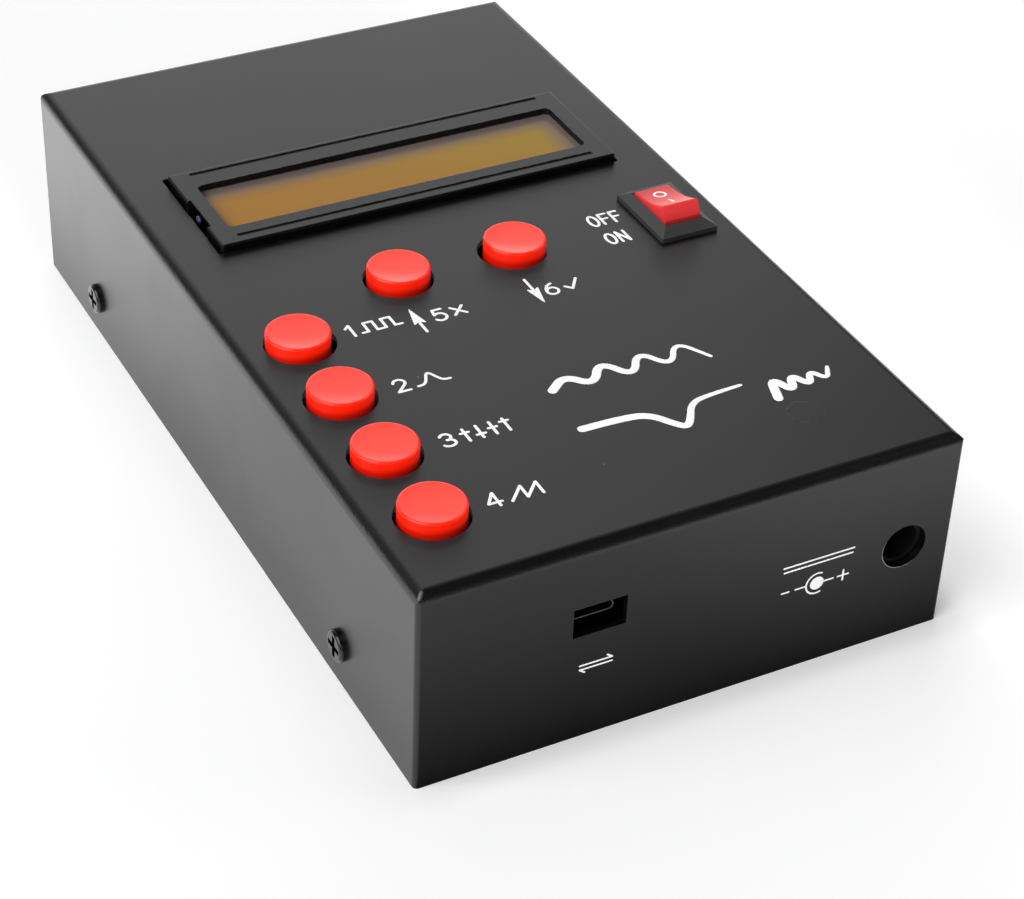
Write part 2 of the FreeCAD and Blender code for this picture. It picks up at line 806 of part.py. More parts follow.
def make_header_strip():
    first, last = header_places()[0], header_places()[-1]
    strip = block((first[0] + last[0]) / 2, first[1], board_top, header_count * header_spacing,
                  header_spacing, header_strip_height)
    return strip.cut([block(x, y, board_top, header_post_width, header_post_width, header_strip_height)
                      for x, y in header_places()])


def make_header_pins():
    foot = board_under - header_post_out
    length = lcd_board_top + header_post_out - foot
    return [block(x, y, foot, header_post_width, header_post_width, length) for x, y in header_places()]


# ---- Rocker switch ----

def rocker_points(pairs, x):
    return [V(x, rocker_y + y, pivot_z + z) for y, z in pairs]


def tilted(shape, degrees, z):
    """The shape turned about the axis along X through the rocker's middle at height z."""
    turned_shape = shape.copy()
    turned_shape.rotate(V(rocker_x, rocker_y, z), V(1, 0, 0), degrees)
    return turned_shape


def make_rocker_frame():
    rim = block(rocker_x, rocker_y, case_height, rocker_frame_width, rocker_frame_length, rocker_rim_height)
    bevel_foot = case_height + rocker_rim_height
    outer = rectangle(rocker_x, rocker_y, bevel_foot, rocker_frame_width, rocker_frame_length)
    inner = rectangle(rocker_x, rocker_y, bevel_foot + rocker_bevel_height, rocker_opening_width,
                      rocker_opening_length)
    bevel = Part.makeLoft([outer, inner], True, True)
    body_foot = case_height - rocker_body_depth
    body = block(rocker_x, rocker_y, body_foot, rocker_body_width, rocker_body_length, rocker_body_depth)
    frame = rim.fuse([bevel, body])
    cavity = block(rocker_x, rocker_y, rocker_floor_top, rocker_opening_width, rocker_opening_length,
                   rocker_body_depth + rocker_rim_height + rocker_bevel_height)
    frame = frame.cut(cavity)
    for end in (-1, 1):
        y = rocker_y + end * rocker_body_length / 2
        clip_top = cover_under - rocker_slot_gap
        clip = prism([V(rocker_x - rocker_clip_width / 2, y, clip_top),
                      V(rocker_x - rocker_clip_width / 2, y + end * rocker_clip_proud, clip_top),
                      V(rocker_x - rocker_clip_width / 2, y, clip_top - rocker_clip_length)],
                     V(rocker_clip_width, 0, 0))
        frame = frame.fuse(clip)
    bearing = rod(rocker_x - rocker_frame_width / 2, rocker_y, pivot_z, trunnion_radius + trunnion_gap,
                  rocker_frame_width, V(1, 0, 0))
    room = 4 * trunnion_radius
    blind = block(rocker_x, rocker_y, pivot_z - room / 2, rocker_opening_width + 2 * trunnion_length,
                  room, room)
    frame = frame.cut(bearing.common(blind))
    for y in terminal_places():
        frame = frame.cut(block(rocker_x, y, body_foot, terminal_width, terminal_thickness, rocker_floor))
    return frame


def make_paddle():
    """The see-saw, drawn level and then tipped so that its front end stands up."""
    waist = paddle_waist_half_length
    side = [(waist - paddle_top_setback, paddle_end_height), (waist, paddle_waist_height),
            (waist - paddle_skirt_setback, -paddle_skirt_drop)]
    outline = side + [(-y, z) for y, z in reversed(side)]
    corners = rocker_points(outline, rocker_x - paddle_width / 2)
    valley = rocker_points([(0, paddle_end_height - paddle_top_hollow)], corners[0].x)[0]
    edges = Part.makePolygon(corners).Edges + [Part.Arc(corners[-1], valley, corners[0]).toShape()]
    paddle = Part.Face(Part.Wire(edges)).extrude(V(paddle_width, 0, 0))
    crests = [e for e in paddle.Edges
              if all(abs(v.Z - pivot_z - paddle_end_height) < TOUCH for v in e.Vertexes)]
    paddle = paddle.makeFillet(paddle_rounding, crests)
    pin_length = rocker_opening_width + 2 * trunnion_length - 2 * trunnion_gap
    trunnions = rod(rocker_x - pin_length / 2, rocker_y, pivot_z, trunnion_radius, pin_length, V(1, 0, 0))
    stem = rod(rocker_x, rocker_y, pivot_z, stem_radius, stem_length, DOWN)
    paddle = paddle.fuse([trunnions, stem])
    bore_foot = pivot_z - stem_length
    paddle = paddle.cut(rod(rocker_x, rocker_y, bore_foot, plunger_radius + plunger_fit, plunger_bore_depth))
    return tilted(paddle, -paddle_tilt, pivot_z)


def make_plunger():
    tip = pivot_z - plunger_reach
    pin = rod(rocker_x, rocker_y, tip + plunger_radius, plunger_radius, plunger_length - plunger_radius)
    ball = Part.makeSphere(plunger_radius, V(rocker_x, rocker_y, tip + plunger_radius))
    return tilted(pin.fuse(ball), -paddle_tilt, pivot_z)


def make_spring():
    """The coil spring between the plunger and the top of its bore."""
    foot = pivot_z - plunger_reach + plunger_length
    top = pivot_z - stem_length + plunger_bore_depth
    coil_radius = plunger_radius - spring_wire / 2 - plunger_fit
    pitch = (top - foot - 2 * spring_wire) / spring_turns
    helix = Part.makeHelix(pitch, pitch * spring_turns, coil_radius)
    section = Part.makePolygon([V(coil_radius + dx * spring_wire / 2, 0, dz * spring_wire / 2)
                                for dx, dz in ((-1, -1), (1, -1), (1, 1), (-1, 1), (-1, -1))])
    spring = Part.Wire(helix.Edges).makePipeShell([section], True, True)
    spring.translate(V(rocker_x, rocker_y, foot + spring_wire))
    return tilted(spring, -paddle_tilt, pivot_z)


def terminal_places():
    return [rocker_y, rocker_y + terminal_spacing]


def make_lever():
    lever = block(rocker_x, rocker_y, lever_z - lever_thickness, lever_width, 2 * lever_half_length,
                  lever_thickness)
    groove = rod(rocker_x - lever_width / 2, rocker_y, lever_z - lever_thickness, lever_groove_radius,
                 lever_width, V(1, 0, 0))
    return tilted(lever.cut(groove), paddle_tilt * lever_ratio, lever_z - lever_thickness)


def make_terminals():
    """The middle blade carries the lever on its round ridge; the rear blade holds the fixed contact."""
    foot = case_height - rocker_body_depth - terminal_drop
    middle_y, rear_y = terminal_places()
    ridge_z = lever_z - lever_thickness
    middle = block(rocker_x, middle_y, foot, terminal_width, terminal_thickness,
                   ridge_z - ridge_rise - foot)
    ridge = rod(rocker_x - terminal_width / 2, middle_y, ridge_z, lever_groove_radius - lever_gap,
                terminal_width, V(1, 0, 0))
    drop = terminal_spacing * math.sin(math.radians(paddle_tilt * lever_ratio))
    contact_top = lever_z - lever_thickness - drop - terminal_thickness / 2 - fixed_contact_gap
    rear = block(rocker_x, rear_y, foot, terminal_width, terminal_thickness, contact_top - foot)
    blades = []
    for blade, y in ((middle.fuse(ridge), middle_y), (rear, rear_y)):
        eye_z = foot + terminal_drop / 3
        blades.append(blade.cut(rod(rocker_x, y - terminal_thickness, eye_z, terminal_hole_radius,
                                    2 * terminal_thickness, REARWARD)))
    return blades


def make_power_leads():
    """Two soldered wires, from the blades' eyes down, across and up to the underside of the board."""
    leads = []
    eye_z = case_height - rocker_body_depth - terminal_drop + terminal_drop / 3
    for y in terminal_places():
        start = V(rocker_x - terminal_width / 2 - power_lead_radius, y, eye_z + terminal_drop / 2)
        low = V(start.x, y, eye_z - power_lead_drop)
        across = V(start.x - power_lead_reach, y, eye_z - power_lead_drop)
        end = V(across.x, y, board_under)
        leads.append(wire_through([start, low, across, end], [power_lead_bend, power_lead_bend],
                                  power_lead_radius))
    return leads


# ---- Front sockets ----

def make_usb_shell():
    outer = prism(usb_outline(0, usb_front), V(0, usb_length, 0))
    return outer.cut(prism(usb_outline(usb_skin, usb_front), V(0, usb_length - usb_skin, 0)))


def make_usb_tongue():
    rear = usb_front + usb_length - usb_skin
    base = prism(usb_outline(usb_skin, rear - usb_base_length), V(0, usb_base_length, 0))
    tongue_z = board_under - usb_height / 2 - usb_tongue_thickness / 2
    tongue_length = usb_length - usb_skin - usb_tongue_setback
    tongue = block(usb_x, rear - tongue_length / 2, tongue_z, usb_tongue_width, tongue_length,
                   usb_tongue_thickness)
    return base.fuse(tongue)


def make_dc_jack():
    body = block(dc_x, dc_front + dc_length / 2, board_under - dc_drop, dc_width, dc_length, dc_drop)
    shoulder = block(dc_x, dc_front + dc_shoulder_length + dc_length / 2, board_under - dc_drop, dc_width,
                     dc_length, dc_shoulder_drop)
    mouth = rod(dc_x, dc_front, dc_axis_z, dc_mouth_radius, dc_mouth_depth, REARWARD)
    socket = rod(dc_x, dc_front, dc_axis_z, dc_pin_root_radius, dc_length, REARWARD)
    return body.cut([shoulder, mouth, socket])


def make_dc_pin():
    """The pin with a rounded tip, and a thicker root seated in the housing's rear wall."""
    pin = rod(dc_x, dc_front + dc_pin_setback, dc_axis_z, dc_pin_radius, dc_length - dc_pin_setback, REARWARD)
    tip = [e for e in pin.Edges if all(abs(v.Y - dc_front - dc_pin_setback) < TOUCH for v in e.Vertexes)]
    root = rod(dc_x, dc_front + dc_mouth_depth, dc_axis_z, dc_pin_root_radius, dc_length - dc_mouth_depth,
               REARWARD)
    return pin.makeFillet(dc_pin_tip, tip).fuse(root)


# ---- Aerial socket ----

def make_aerial_shell():
    flange = block(0, case_rear + aerial_flange_thickness / 2, aerial_height - aerial_flange_side / 2,
                   aerial_flange_side, aerial_flange_thickness, aerial_flange_side)
    corners = [e for e in flange.Edges if abs(e.tangentAt(e.FirstParameter).y) > 1 - TOUCH]
    flange = flange.makeFillet(aerial_flange_rounding, corners)
    barrel = rod(0, aerial_face, aerial_height, aerial_barrel_radius, aerial_barrel_length, REARWARD)
    rim = [e for e in barrel.Edges if all(abs(v.Y - aerial_mouth) < TOUCH for v in e.Vertexes)]
    barrel = barrel.makeChamfer(aerial_barrel_chamfer, rim)
    collar = rod(0, case_rear - aerial_collar_length, aerial_height, aerial_collar_radius,
                 aerial_collar_length, REARWARD)
    shell = flange.fuse([barrel, collar])
    shell = shell.cut(rod(0, aerial_mouth, aerial_height, aerial_bore_radius, aerial_bore_depth, FORWARD))
    shell = shell.cut(rod(0, case_rear - aerial_collar_length, aerial_height, insulator_radius,
                          aerial_collar_length + aerial_flange_thickness + aerial_barrel_length, REARWARD))
    screw_hole = aerial_screw_radius + aerial_screw_hole_gap
    shell = shell.cut([rod(x, case_rear, z, screw_hole, aerial_flange_thickness, REARWARD)
                       for x, z in aerial_screw_places()])
    for k in range(aerial_notch_count):
        notch = block(aerial_barrel_radius, 0, -aerial_notch_width / 2, aerial_barrel_radius,
                      2 * aerial_notch_depth, aerial_notch_width)
        notch.rotate(V(0, 0, 0), REARWARD, 45 + k * 360 / aerial_notch_count)
        notch.translate(V(0, aerial_mouth, aerial_height))
        shell = shell.cut(notch)
    return shell


def make_insulator():
    foot = case_rear - aerial_collar_length
    front = aerial_mouth - aerial_bore_depth
    body = rod(0, foot, aerial_height, insulator_radius, front - foot, REARWARD)
    tail = rod(0, foot - insulator_tail, aerial_height, insulator_tail_radius, insulator_tail, REARWARD)
    return body.fuse(tail).cut(rod(0, foot - insulator_tail, aerial_height, contact_radius,
                                   front - foot + insulator_tail, REARWARD))


def make_contact():
    """The slotted centre contact: it takes the plug's pin in front and the inner lead in its solder cup."""
    tip = aerial_mouth - contact_setback
    foot = case_rear - aerial_collar_length - insulator_tail
    contact = rod(0, foot, aerial_height, contact_radius, tip - foot, REARWARD)
    contact = contact.fuse(rod(0, foot, aerial_height, contact_tail_radius, contact_tail_length, FORWARD))
    contact = contact.cut(rod(0, tip, aerial_height, contact_bore_radius, contact_bore_depth, FORWARD))
    contact = contact.cut(rod(0, foot - contact_tail_length, aerial_height, contact_cup_radius,
                              contact_cup_depth, REARWARD))
    slot = block(0, tip, aerial_height - contact_slot_width / 2, 3 * contact_radius, 2 * contact_slot_depth,
                 contact_slot_width)
    return contact.cut(slot)


def make_aerial_fasteners():
    shank = aerial_flange_thickness + sheet + aerial_nut_height + aerial_screw_past_nut
    screw = pan_screw(aerial_screw_radius, shank, aerial_screw_head_radius, aerial_screw_head_height)
    pieces = []
    for x, z in aerial_screw_places():
        pieces.append(aimed(screw, V(x, aerial_face, z), REARWARD))
        nut = hexagon(x, inner_rear, z, aerial_nut_across_flats, aerial_nut_height, FORWARD)
        bore = rod(x, inner_rear, z, aerial_screw_radius + case_screw_thread_gap, aerial_nut_height, FORWARD)
        pieces.append(nut.cut(bore))
    return pieces


def make_aerial_lead():
    start_y = case_rear - aerial_collar_length - insulator_tail - contact_tail_length + contact_cup_depth
    start = V(0, start_y, aerial_height)
    corner = V(0, start_y - contact_cup_depth - aerial_lead_run, aerial_height)
    end = V(0, corner.y, board_under)
    return wire_through([start, corner, end], [aerial_lead_bend], aerial_lead_radius)


# ---- Soldered parts ----

def on_top(place):
    return place[0], board_front + place[1], board_top


def make_flat_chips():
    """The synthesizer and the data bridge, soldered to the underside of the board."""
    chips = ((synthesizer_size, synthesizer_place), (usb_chip_size, usb_chip_place))
    return [block(x, board_front + y, board_under - size[2], *size) for size, (x, y) in chips]


def make_controller():
    x, y, z = on_top(controller_place)
    width, depth, height = controller_size
    chip = block(x, y, z + controller_lift, width, depth, height)
    first = x - (controller_leg_count - 1) * controller_leg_pitch / 2
    reach = depth + 2 * controller_leg_reach
    legs = [block(first + k * controller_leg_pitch, y, z, controller_leg_width, reach,
                  controller_lift + height / 2) for k in range(controller_leg_count)]
    hollow = block(x, y, z, width, depth, controller_lift)
    return chip.fuse(legs).cut(hollow)


def make_oscillator():
    width, depth, height = oscillator_size
    x, y = oscillator_place[0], board_front + oscillator_place[1]
    return rounded_block(x, y, board_under - height, width, depth, height, oscillator_corner)


def make_regulator():
    """A power regulator lying on its heat sink."""
    x, y, z = on_top(regulator_place)
    width, depth, height = regulator_body
    foot = z + sink_base
    tab = block(x, y + (depth + regulator_tab_length) / 2, foot, width, depth * 2 + regulator_tab_length,
                regulator_tab_thickness)
    tab = tab.common(block(x, y + regulator_tab_length / 2, foot, width, depth + regulator_tab_length,
                           regulator_tab_thickness))
    tab_y = y + depth / 2 + regulator_tab_length / 2
    regulator = tab.fuse(block(x, y, foot, width, depth, height))
    regulator = regulator.cut(rod(x, tab_y, foot, regulator_hole_radius, regulator_tab_thickness))
    for k in (-1, 0, 1):
        leg = block(x + k * regulator_leg_pitch, y - depth / 2 - regulator_leg_length / 2, z,
                    regulator_leg_side, regulator_leg_length, sink_base + height / 2)
        room = block(x, y - depth / 2 + regulator_leg_side - regulator_leg_length / 2, z, width,
                     regulator_leg_length, sink_base + height / 2 - regulator_leg_side)
        leg = leg.cut(room)
        regulator = regulator.fuse(leg)
    return regulator


def make_heat_sink():
    x, y, z = on_top(regulator_place)
    width, depth = sink_size
    middle = y + regulator_tab_length / 2
    sink = block(x, middle, z, width, depth, sink_base)
    for side in (-1, 1):
        fin_x = x + side * (width - sink_fin_thickness) / 2
        sink = sink.fuse(block(fin_x, middle, z, sink_fin_thickness, depth, sink_fin_height))
    return sink


def make_capacitors():
    cans = []
    for x, y in capacitor_places:
        top = board_under
        foot = top - capacitor_height
        outer, waist = capacitor_radius, capacitor_radius - capacitor_bead_depth
        bead = capacitor_bead_height
        outline = [V(0, 0, top), V(outer, 0, top), V(outer, 0, top - bead), V(waist, 0, top - 1.5 * bead),
                   V(outer, 0, top - 2 * bead), V(outer, 0, foot + capacitor_rim),
                   V(outer - capacitor_rim, 0, foot), V(0, 0, foot)]
        can = turned(outline, V(0, 0, 0), UP)
        can.translate(V(x, board_front + y, 0))
        cans.append(can)
    return cans


def make_ring_core():
    y = board_rear - ring_core_rear_inset
    foot = board_under - ring_core_lift - ring_core_height
    hole = rod(0, y, foot, ring_core_bore, ring_core_height)
    return rod(0, y, foot, ring_core_radius, ring_core_height).cut(hole)


def make_winding():
    """Square turns of wire round the ring core, evenly spread."""
    y = board_rear - ring_core_rear_inset
    middle_z = board_under - ring_core_lift - ring_core_height / 2
    middle_r = (ring_core_radius + ring_core_bore) / 2
    inner_w = ring_core_radius - ring_core_bore + 2 * winding_gap
    inner_h = ring_core_height + 2 * winding_gap
    outer_w, outer_h = inner_w + 2 * winding_wire, inner_h + 2 * winding_wire
    turns = []
    for k in range(winding_turns):
        turn = block(middle_r, 0, -outer_h / 2, outer_w, winding_wire, outer_h)
        turn = turn.cut(block(middle_r, 0, -inner_h / 2, inner_w, winding_wire, inner_h))
        turn.rotate(V(0, 0, 0), UP, k * 360 / winding_turns)
        turn.translate(V(0, y, middle_z))
        turns.append(turn)
    return turns


def make_resistors():
    z = board_under - resistor_radius - resistor_lead_radius
    foot_x = resistor_length / 2 + resistor_lead_reach
    body = rod(-resistor_length / 2, 0, z, resistor_radius, resistor_length, V(1, 0, 0))
    staple = [V(-foot_x, 0, board_under), V(-foot_x, 0, z), V(foot_x, 0, z), V(foot_x, 0, board_under)]
    lead = wire_through(staple, [resistor_lead_bend, resistor_lead_bend], resistor_lead_radius)
    resistor = body.fuse(lead)
    return [resistor.translated(V(side * resistor_offset, board_rear - inset, 0))
            for side in (-1, 1) for inset in resistor_rear_insets]


def trimmer_place():
    return trimmer_side_inset - board_half_width, board_rear - trimmer_rear_inset


def make_trimmer():
    x, y = trimmer_place()
    foot = board_under - trimmer_height
    body = block(x, y, foot, trimmer_side, trimmer_side, trimmer_height)
    return body.cut(rod(x, y, foot, trimmer_rotor_radius + trimmer_rotor_gap, trimmer_rotor_depth))


def make_trimmer_rotor():
    x, y = trimmer_place()
    foot = board_under - trimmer_height
    rotor = rod(x, y, foot, trimmer_rotor_radius, trimmer_rotor_depth - trimmer_rotor_gap)
    slot = block(x, y, foot - trimmer_slot_depth, trimmer_slot_width, 3 * trimmer_rotor_radius,
                 2 * trimmer_slot_depth)
    return rotor.cut(slot)


def gather():
    """Every node's name and its solid or solids."""
    nodes = {
        "top_cover": make_cover(),
        "bottom_tray": make_tray(),
        "case_screws": make_case_screws(),
        "main_board": make_main_board(),
        "board_pillars": make_pillars(),
        "board_screws": make_board_screws(),
        "lcd_bezel": make_bezel(),
        "lcd_glass": make_glass(),
        "lcd_backlight": make_light(),
        "lcd_contact_strips": make_strips(),
        "lcd_board": make_lcd_board(),
        "lcd_spacers": make_lcd_spacers(),
        "lcd_screws": make_lcd_screws(),
        "header_strip": make_header_strip(),
        "header_pins": make_header_pins(),
        "rocker_frame": make_rocker_frame(),
        "rocker_paddle": make_paddle(),
        "rocker_plunger": make_plunger(),
        "rocker_spring": make_spring(),
        "rocker_contact_lever": make_lever(),
        "rocker_terminals": make_terminals(),
        "power_leads": make_power_leads(),
        "usb_shell": make_usb_shell(),
        "usb_tongue": make_usb_tongue(),
        "dc_jack_housing": make_dc_jack(),
        "dc_jack_pin": make_dc_pin(),
        "aerial_socket_shell": make_aerial_shell(),
        "aerial_insulator": make_insulator(),
        "aerial_contact": make_contact(),
        "aerial_fasteners": make_aerial_fasteners(),
        "aerial_lead": make_aerial_lead(),
        "controller_chip": make_controller(),
        "flat_chips": make_flat_chips(),
        "clock_oscillator": make_oscillator(),
        "voltage_regulator": make_regulator(),
        "heat_sink": make_heat_sink(),
        "filter_capacitors": make_capacitors(),
        "transformer_core": make_ring_core(),
        "transformer_winding": make_winding(),
        "bridge_resistors": make_resistors(),
        "contrast_trimmer": make_trimmer(),
        "trimmer_rotor": make_trimmer_rotor(),
    }
    for number, (x, y) in enumerate(key_places(), start=1):
        nodes[f"key_cap_{number}"] = make_key_cap(x, y)
        nodes[f"key_stem_{number}"] = make_key_stem(x, y)
        nodes[f"key_switch_{number}"] = make_key_switch(x, y)
    return nodes


def export(nodes):
    os.makedirs("parts", exist_ok=True)
    for name, made in nodes.items():
        shape = Part.makeCompound(made) if isinstance(made, list) else made
        shape.exportStep(f"parts/{name}.step")
    print(len(nodes), "nodes")


export(gather())
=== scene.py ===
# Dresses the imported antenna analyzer: finishes for every part, the printed marks, the threaded aerial
# socket, and the pale studio that it stands in.
import json
import math

import bmesh
import bpy
from mathutils import Matrix, Quaternion, Vector
from mathutils.bvhtree import BVHTree


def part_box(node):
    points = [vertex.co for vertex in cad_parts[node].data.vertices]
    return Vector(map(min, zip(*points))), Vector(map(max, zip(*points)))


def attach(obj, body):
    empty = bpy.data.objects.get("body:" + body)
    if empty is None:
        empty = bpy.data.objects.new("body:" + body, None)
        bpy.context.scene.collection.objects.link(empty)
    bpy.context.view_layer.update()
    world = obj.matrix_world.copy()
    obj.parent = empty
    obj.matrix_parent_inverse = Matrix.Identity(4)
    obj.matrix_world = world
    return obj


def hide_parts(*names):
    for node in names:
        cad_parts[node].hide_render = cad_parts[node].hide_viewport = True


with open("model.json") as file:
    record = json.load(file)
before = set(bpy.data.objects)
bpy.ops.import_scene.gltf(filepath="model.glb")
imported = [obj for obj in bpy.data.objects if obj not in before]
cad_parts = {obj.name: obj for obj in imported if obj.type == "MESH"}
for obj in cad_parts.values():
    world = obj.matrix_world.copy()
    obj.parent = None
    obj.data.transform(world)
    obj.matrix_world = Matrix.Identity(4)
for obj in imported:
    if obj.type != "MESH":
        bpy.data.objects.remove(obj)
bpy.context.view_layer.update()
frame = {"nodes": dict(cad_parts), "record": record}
nodes = frame["nodes"]
scene = bpy.context.scene
mm = 0.001
print("frame loaded with", len(nodes), "nodes")


# Shader helpers: inputs take a number, a colour, or another node's output.

def fillInputs(tree, node, inputs):
    for name, value in inputs.items():
        if isinstance(value, bpy.types.NodeSocket):
            tree.links.new(value, node.inputs[name])
        else:
            node.inputs[name].default_value = value
    return node


def addNode(tree, kind, inputs, **settings):
    node = tree.nodes.new("ShaderNode" + kind)
    for name, value in settings.items():
        setattr(node, name, value)
    return fillInputs(tree, node, inputs)


def addGroup(tree, group, inputs):
    node = tree.nodes.new("ShaderNodeGroup")
    node.node_tree = group
    return fillInputs(tree, node, inputs).outputs


def newGroup(name, inputs, outputs):
    group = bpy.data.node_groups.new(name, "ShaderNodeTree")
    for label, value in inputs.items():
        socket = group.interface.new_socket(label, in_out="INPUT", socket_type="NodeSocketFloat")
        socket.default_value = value
    for label in outputs:
        group.interface.new_socket(label, in_out="OUTPUT", socket_type="NodeSocketFloat")
    start, end = group.nodes.new("NodeGroupInput"), group.nodes.new("NodeGroupOutput")
    return group, start.outputs, end


def maths(tree, operation, *values):
    return addNode(tree, "Math", dict(enumerate(values)), operation=operation).outputs[0]


def remap(tree, value, low, high, toLow=0.0, toHigh=1.0):
    inputs = {"Value": value, "From Min": low, "From Max": high, "To Min": toLow, "To Max": toHigh}
    return addNode(tree, "MapRange", inputs, interpolation_type="SMOOTHSTEP").outputs["Result"]


def blendColour(tree, amount, first, second):
    return addNode(tree, "Mix", {0: amount, 6: first, 7: second}, data_type="RGBA").outputs[2]


def product(tree, *factors):
    result = factors[0]
    for factor in factors[1:]:
        result = maths(tree, "MULTIPLY", result, factor)
    return result


def mixNumber(tree, amount, first, second):
    return addNode(tree, "Mix", {0: amount, 2: first, 3: second}, data_type="FLOAT").outputs[0]


def surfaceAxes(tree, output):  # X, Y and Z of the surface's Position or Normal
    return addNode(tree, "SeparateXYZ", {"Vector": addNode(tree, "NewGeometry", {}).outputs[output]}).outputs


def newMaterial(name):
    material = bpy.data.materials.new(name)
    material.use_nodes = True
    return material, material.node_tree, material.node_tree.nodes["Principled BSDF"]


def inMetres(lengths):
    return [length * mm for length in lengths]


def objectPlace(tree, scale=(1, 1, 1), centre=(0, 0, 0)):
    coordinates = addNode(tree, "TexCoord", {}).outputs["Object"]
    offset = [-c * s for c, s in zip(centre, scale)]
    return addNode(tree, "Mapping", {"Vector": coordinates, "Location": offset, "Scale": scale}).outputs[0]


# Surface effects that several finishes share. Fades are where a mask begins and where it is full.
patterns = {"cloudsToPebbles": 0.03, "smudgeFade": (0.4, 0.68), "cornerFade": (0.99, 0.86),
            "breakFade": (0.42, 0.62), "specksLeftOut": 0.72, "dustSettlesAbove": 0.6,
            "lineStretch": (0.04, 1, 1)}


def makeFineGrain():  # pebbled surface of sprayed powder and of spark-eroded moulds
    group, inputs, end = newGroup("fineGrain", {"PerMetre": 2600.0}, ["Height", "Tone"])
    place = addNode(group, "TexCoord", {}).outputs["Object"]
    pebbles = addNode(group, "TexNoise", {"Vector": place, "Scale": inputs["PerMetre"], "Detail": 3.0})
    broadScale = maths(group, "MULTIPLY", inputs["PerMetre"], patterns["cloudsToPebbles"])
    clouds = addNode(group, "TexNoise", {"Vector": place, "Scale": broadScale, "Detail": 2.0})
    fillInputs(group, end, {"Height": pebbles.outputs["Fac"], "Tone": clouds.outputs["Fac"]})
    return group


def makeSmudges():  # where hands have left the surface a little duller
    group, inputs, end = newGroup("smudges", {"PerMetre": 45.0}, ["Mask"])
    place = addNode(group, "TexCoord", {}).outputs["Object"]
    clouds = addNode(group, "TexNoise",
                     {"Vector": place, "Scale": inputs["PerMetre"], "Detail": 5.0, "Distortion": 0.8})
    fillInputs(group, end, {"Mask": remap(group, clouds.outputs["Fac"], *patterns["smudgeFade"])})
    return group


def makeEdgeWearAndGlint():  # thin rubbed line along corners, lighter, which is also a painted edge highlight
    group, inputs, end = newGroup("edgeWearAndGlint", {"Radius": 0.3 * mm, "PerMetre": 900.0}, ["Mask"])
    rounded = addNode(group, "Bevel", {"Radius": inputs["Radius"]}, samples=4).outputs[0]
    facing = addNode(group, "NewGeometry", {}).outputs["Normal"]
    agreement = addNode(group, "VectorMath", {0: rounded, 1: facing}, operation="DOT_PRODUCT")
    corner = remap(group, agreement.outputs["Value"], *patterns["cornerFade"])
    place = addNode(group, "TexCoord", {}).outputs["Object"]
    breaks = addNode(group, "TexNoise", {"Vector": place, "Scale": inputs["PerMetre"], "Detail": 2.0})
    patchy = remap(group, breaks.outputs["Fac"], *patterns["breakFade"])
    fillInputs(group, end, {"Mask": product(group, corner, patchy)})
    return group


def makeDust():  # sparse pale specks that settle on faces turned upwards
    group, inputs, end = newGroup("dust", {"PerMetre": 140.0, "Size": 0.05}, ["Mask"])
    place = addNode(group, "TexCoord", {}).outputs["Object"]
    cells = addNode(group, "TexVoronoi", {"Vector": place, "Scale": inputs["PerMetre"]})
    near = maths(group, "LESS_THAN", cells.outputs["Distance"], inputs["Size"])
    chance = addNode(group, "SeparateColor", {"Color": cells.outputs["Color"]}).outputs["Red"]
    few = maths(group, "GREATER_THAN", chance, patterns["specksLeftOut"])
    settled = maths(group, "GREATER_THAN", surfaceAxes(group, "Normal")["Z"], patterns["dustSettlesAbove"])
    fillInputs(group, end, {"Mask": product(group, near, few, settled)})
    return group


def makeBrushing():  # fine parallel lines left by rolling, drawing or turning
    group, inputs, end = newGroup("brushing", {"PerMetre": 6000.0}, ["Height"])
    stretched = objectPlace(group, patterns["lineStretch"])
    lines = addNode(group, "TexNoise", {"Vector": stretched, "Scale": inputs["PerMetre"], "Detail": 2.0})
    fillInputs(group, end, {"Height": lines.outputs["Fac"]})
    return group


fineGrain = makeFineGrain()
smudges = makeSmudges()
edgeWearAndGlint = makeEdgeWearAndGlint()
dust = makeDust()
brushing = makeBrushing()


# One entry for each finish. colour and shade are mixed by the clouds, and polish is the roughness, clean to
# smudged. Lengths are in millimetres, and the painted mitre highlight takes its inset, drop, half width and
# reach. glow and crownGlow are a painted glow, and the lighter edges are partly a painted highlight.
plainLook = {"metal": 0.0, "ior": 1.5, "grain": 4000.0, "depth": 0.004, "dust": 0.0, "wearAndGlint": 0.0,
             "wornAndLitColour": (0.3, 0.3, 0.3), "wornAndLitRadius": 0.25, "soft": 0.0, "lines": False, "glow": None,
             "crownGlow": None, "glowFoot": 0.0, "glowTop": 1.0, "bendGrain": 0.0, "mitreHighlight": None}

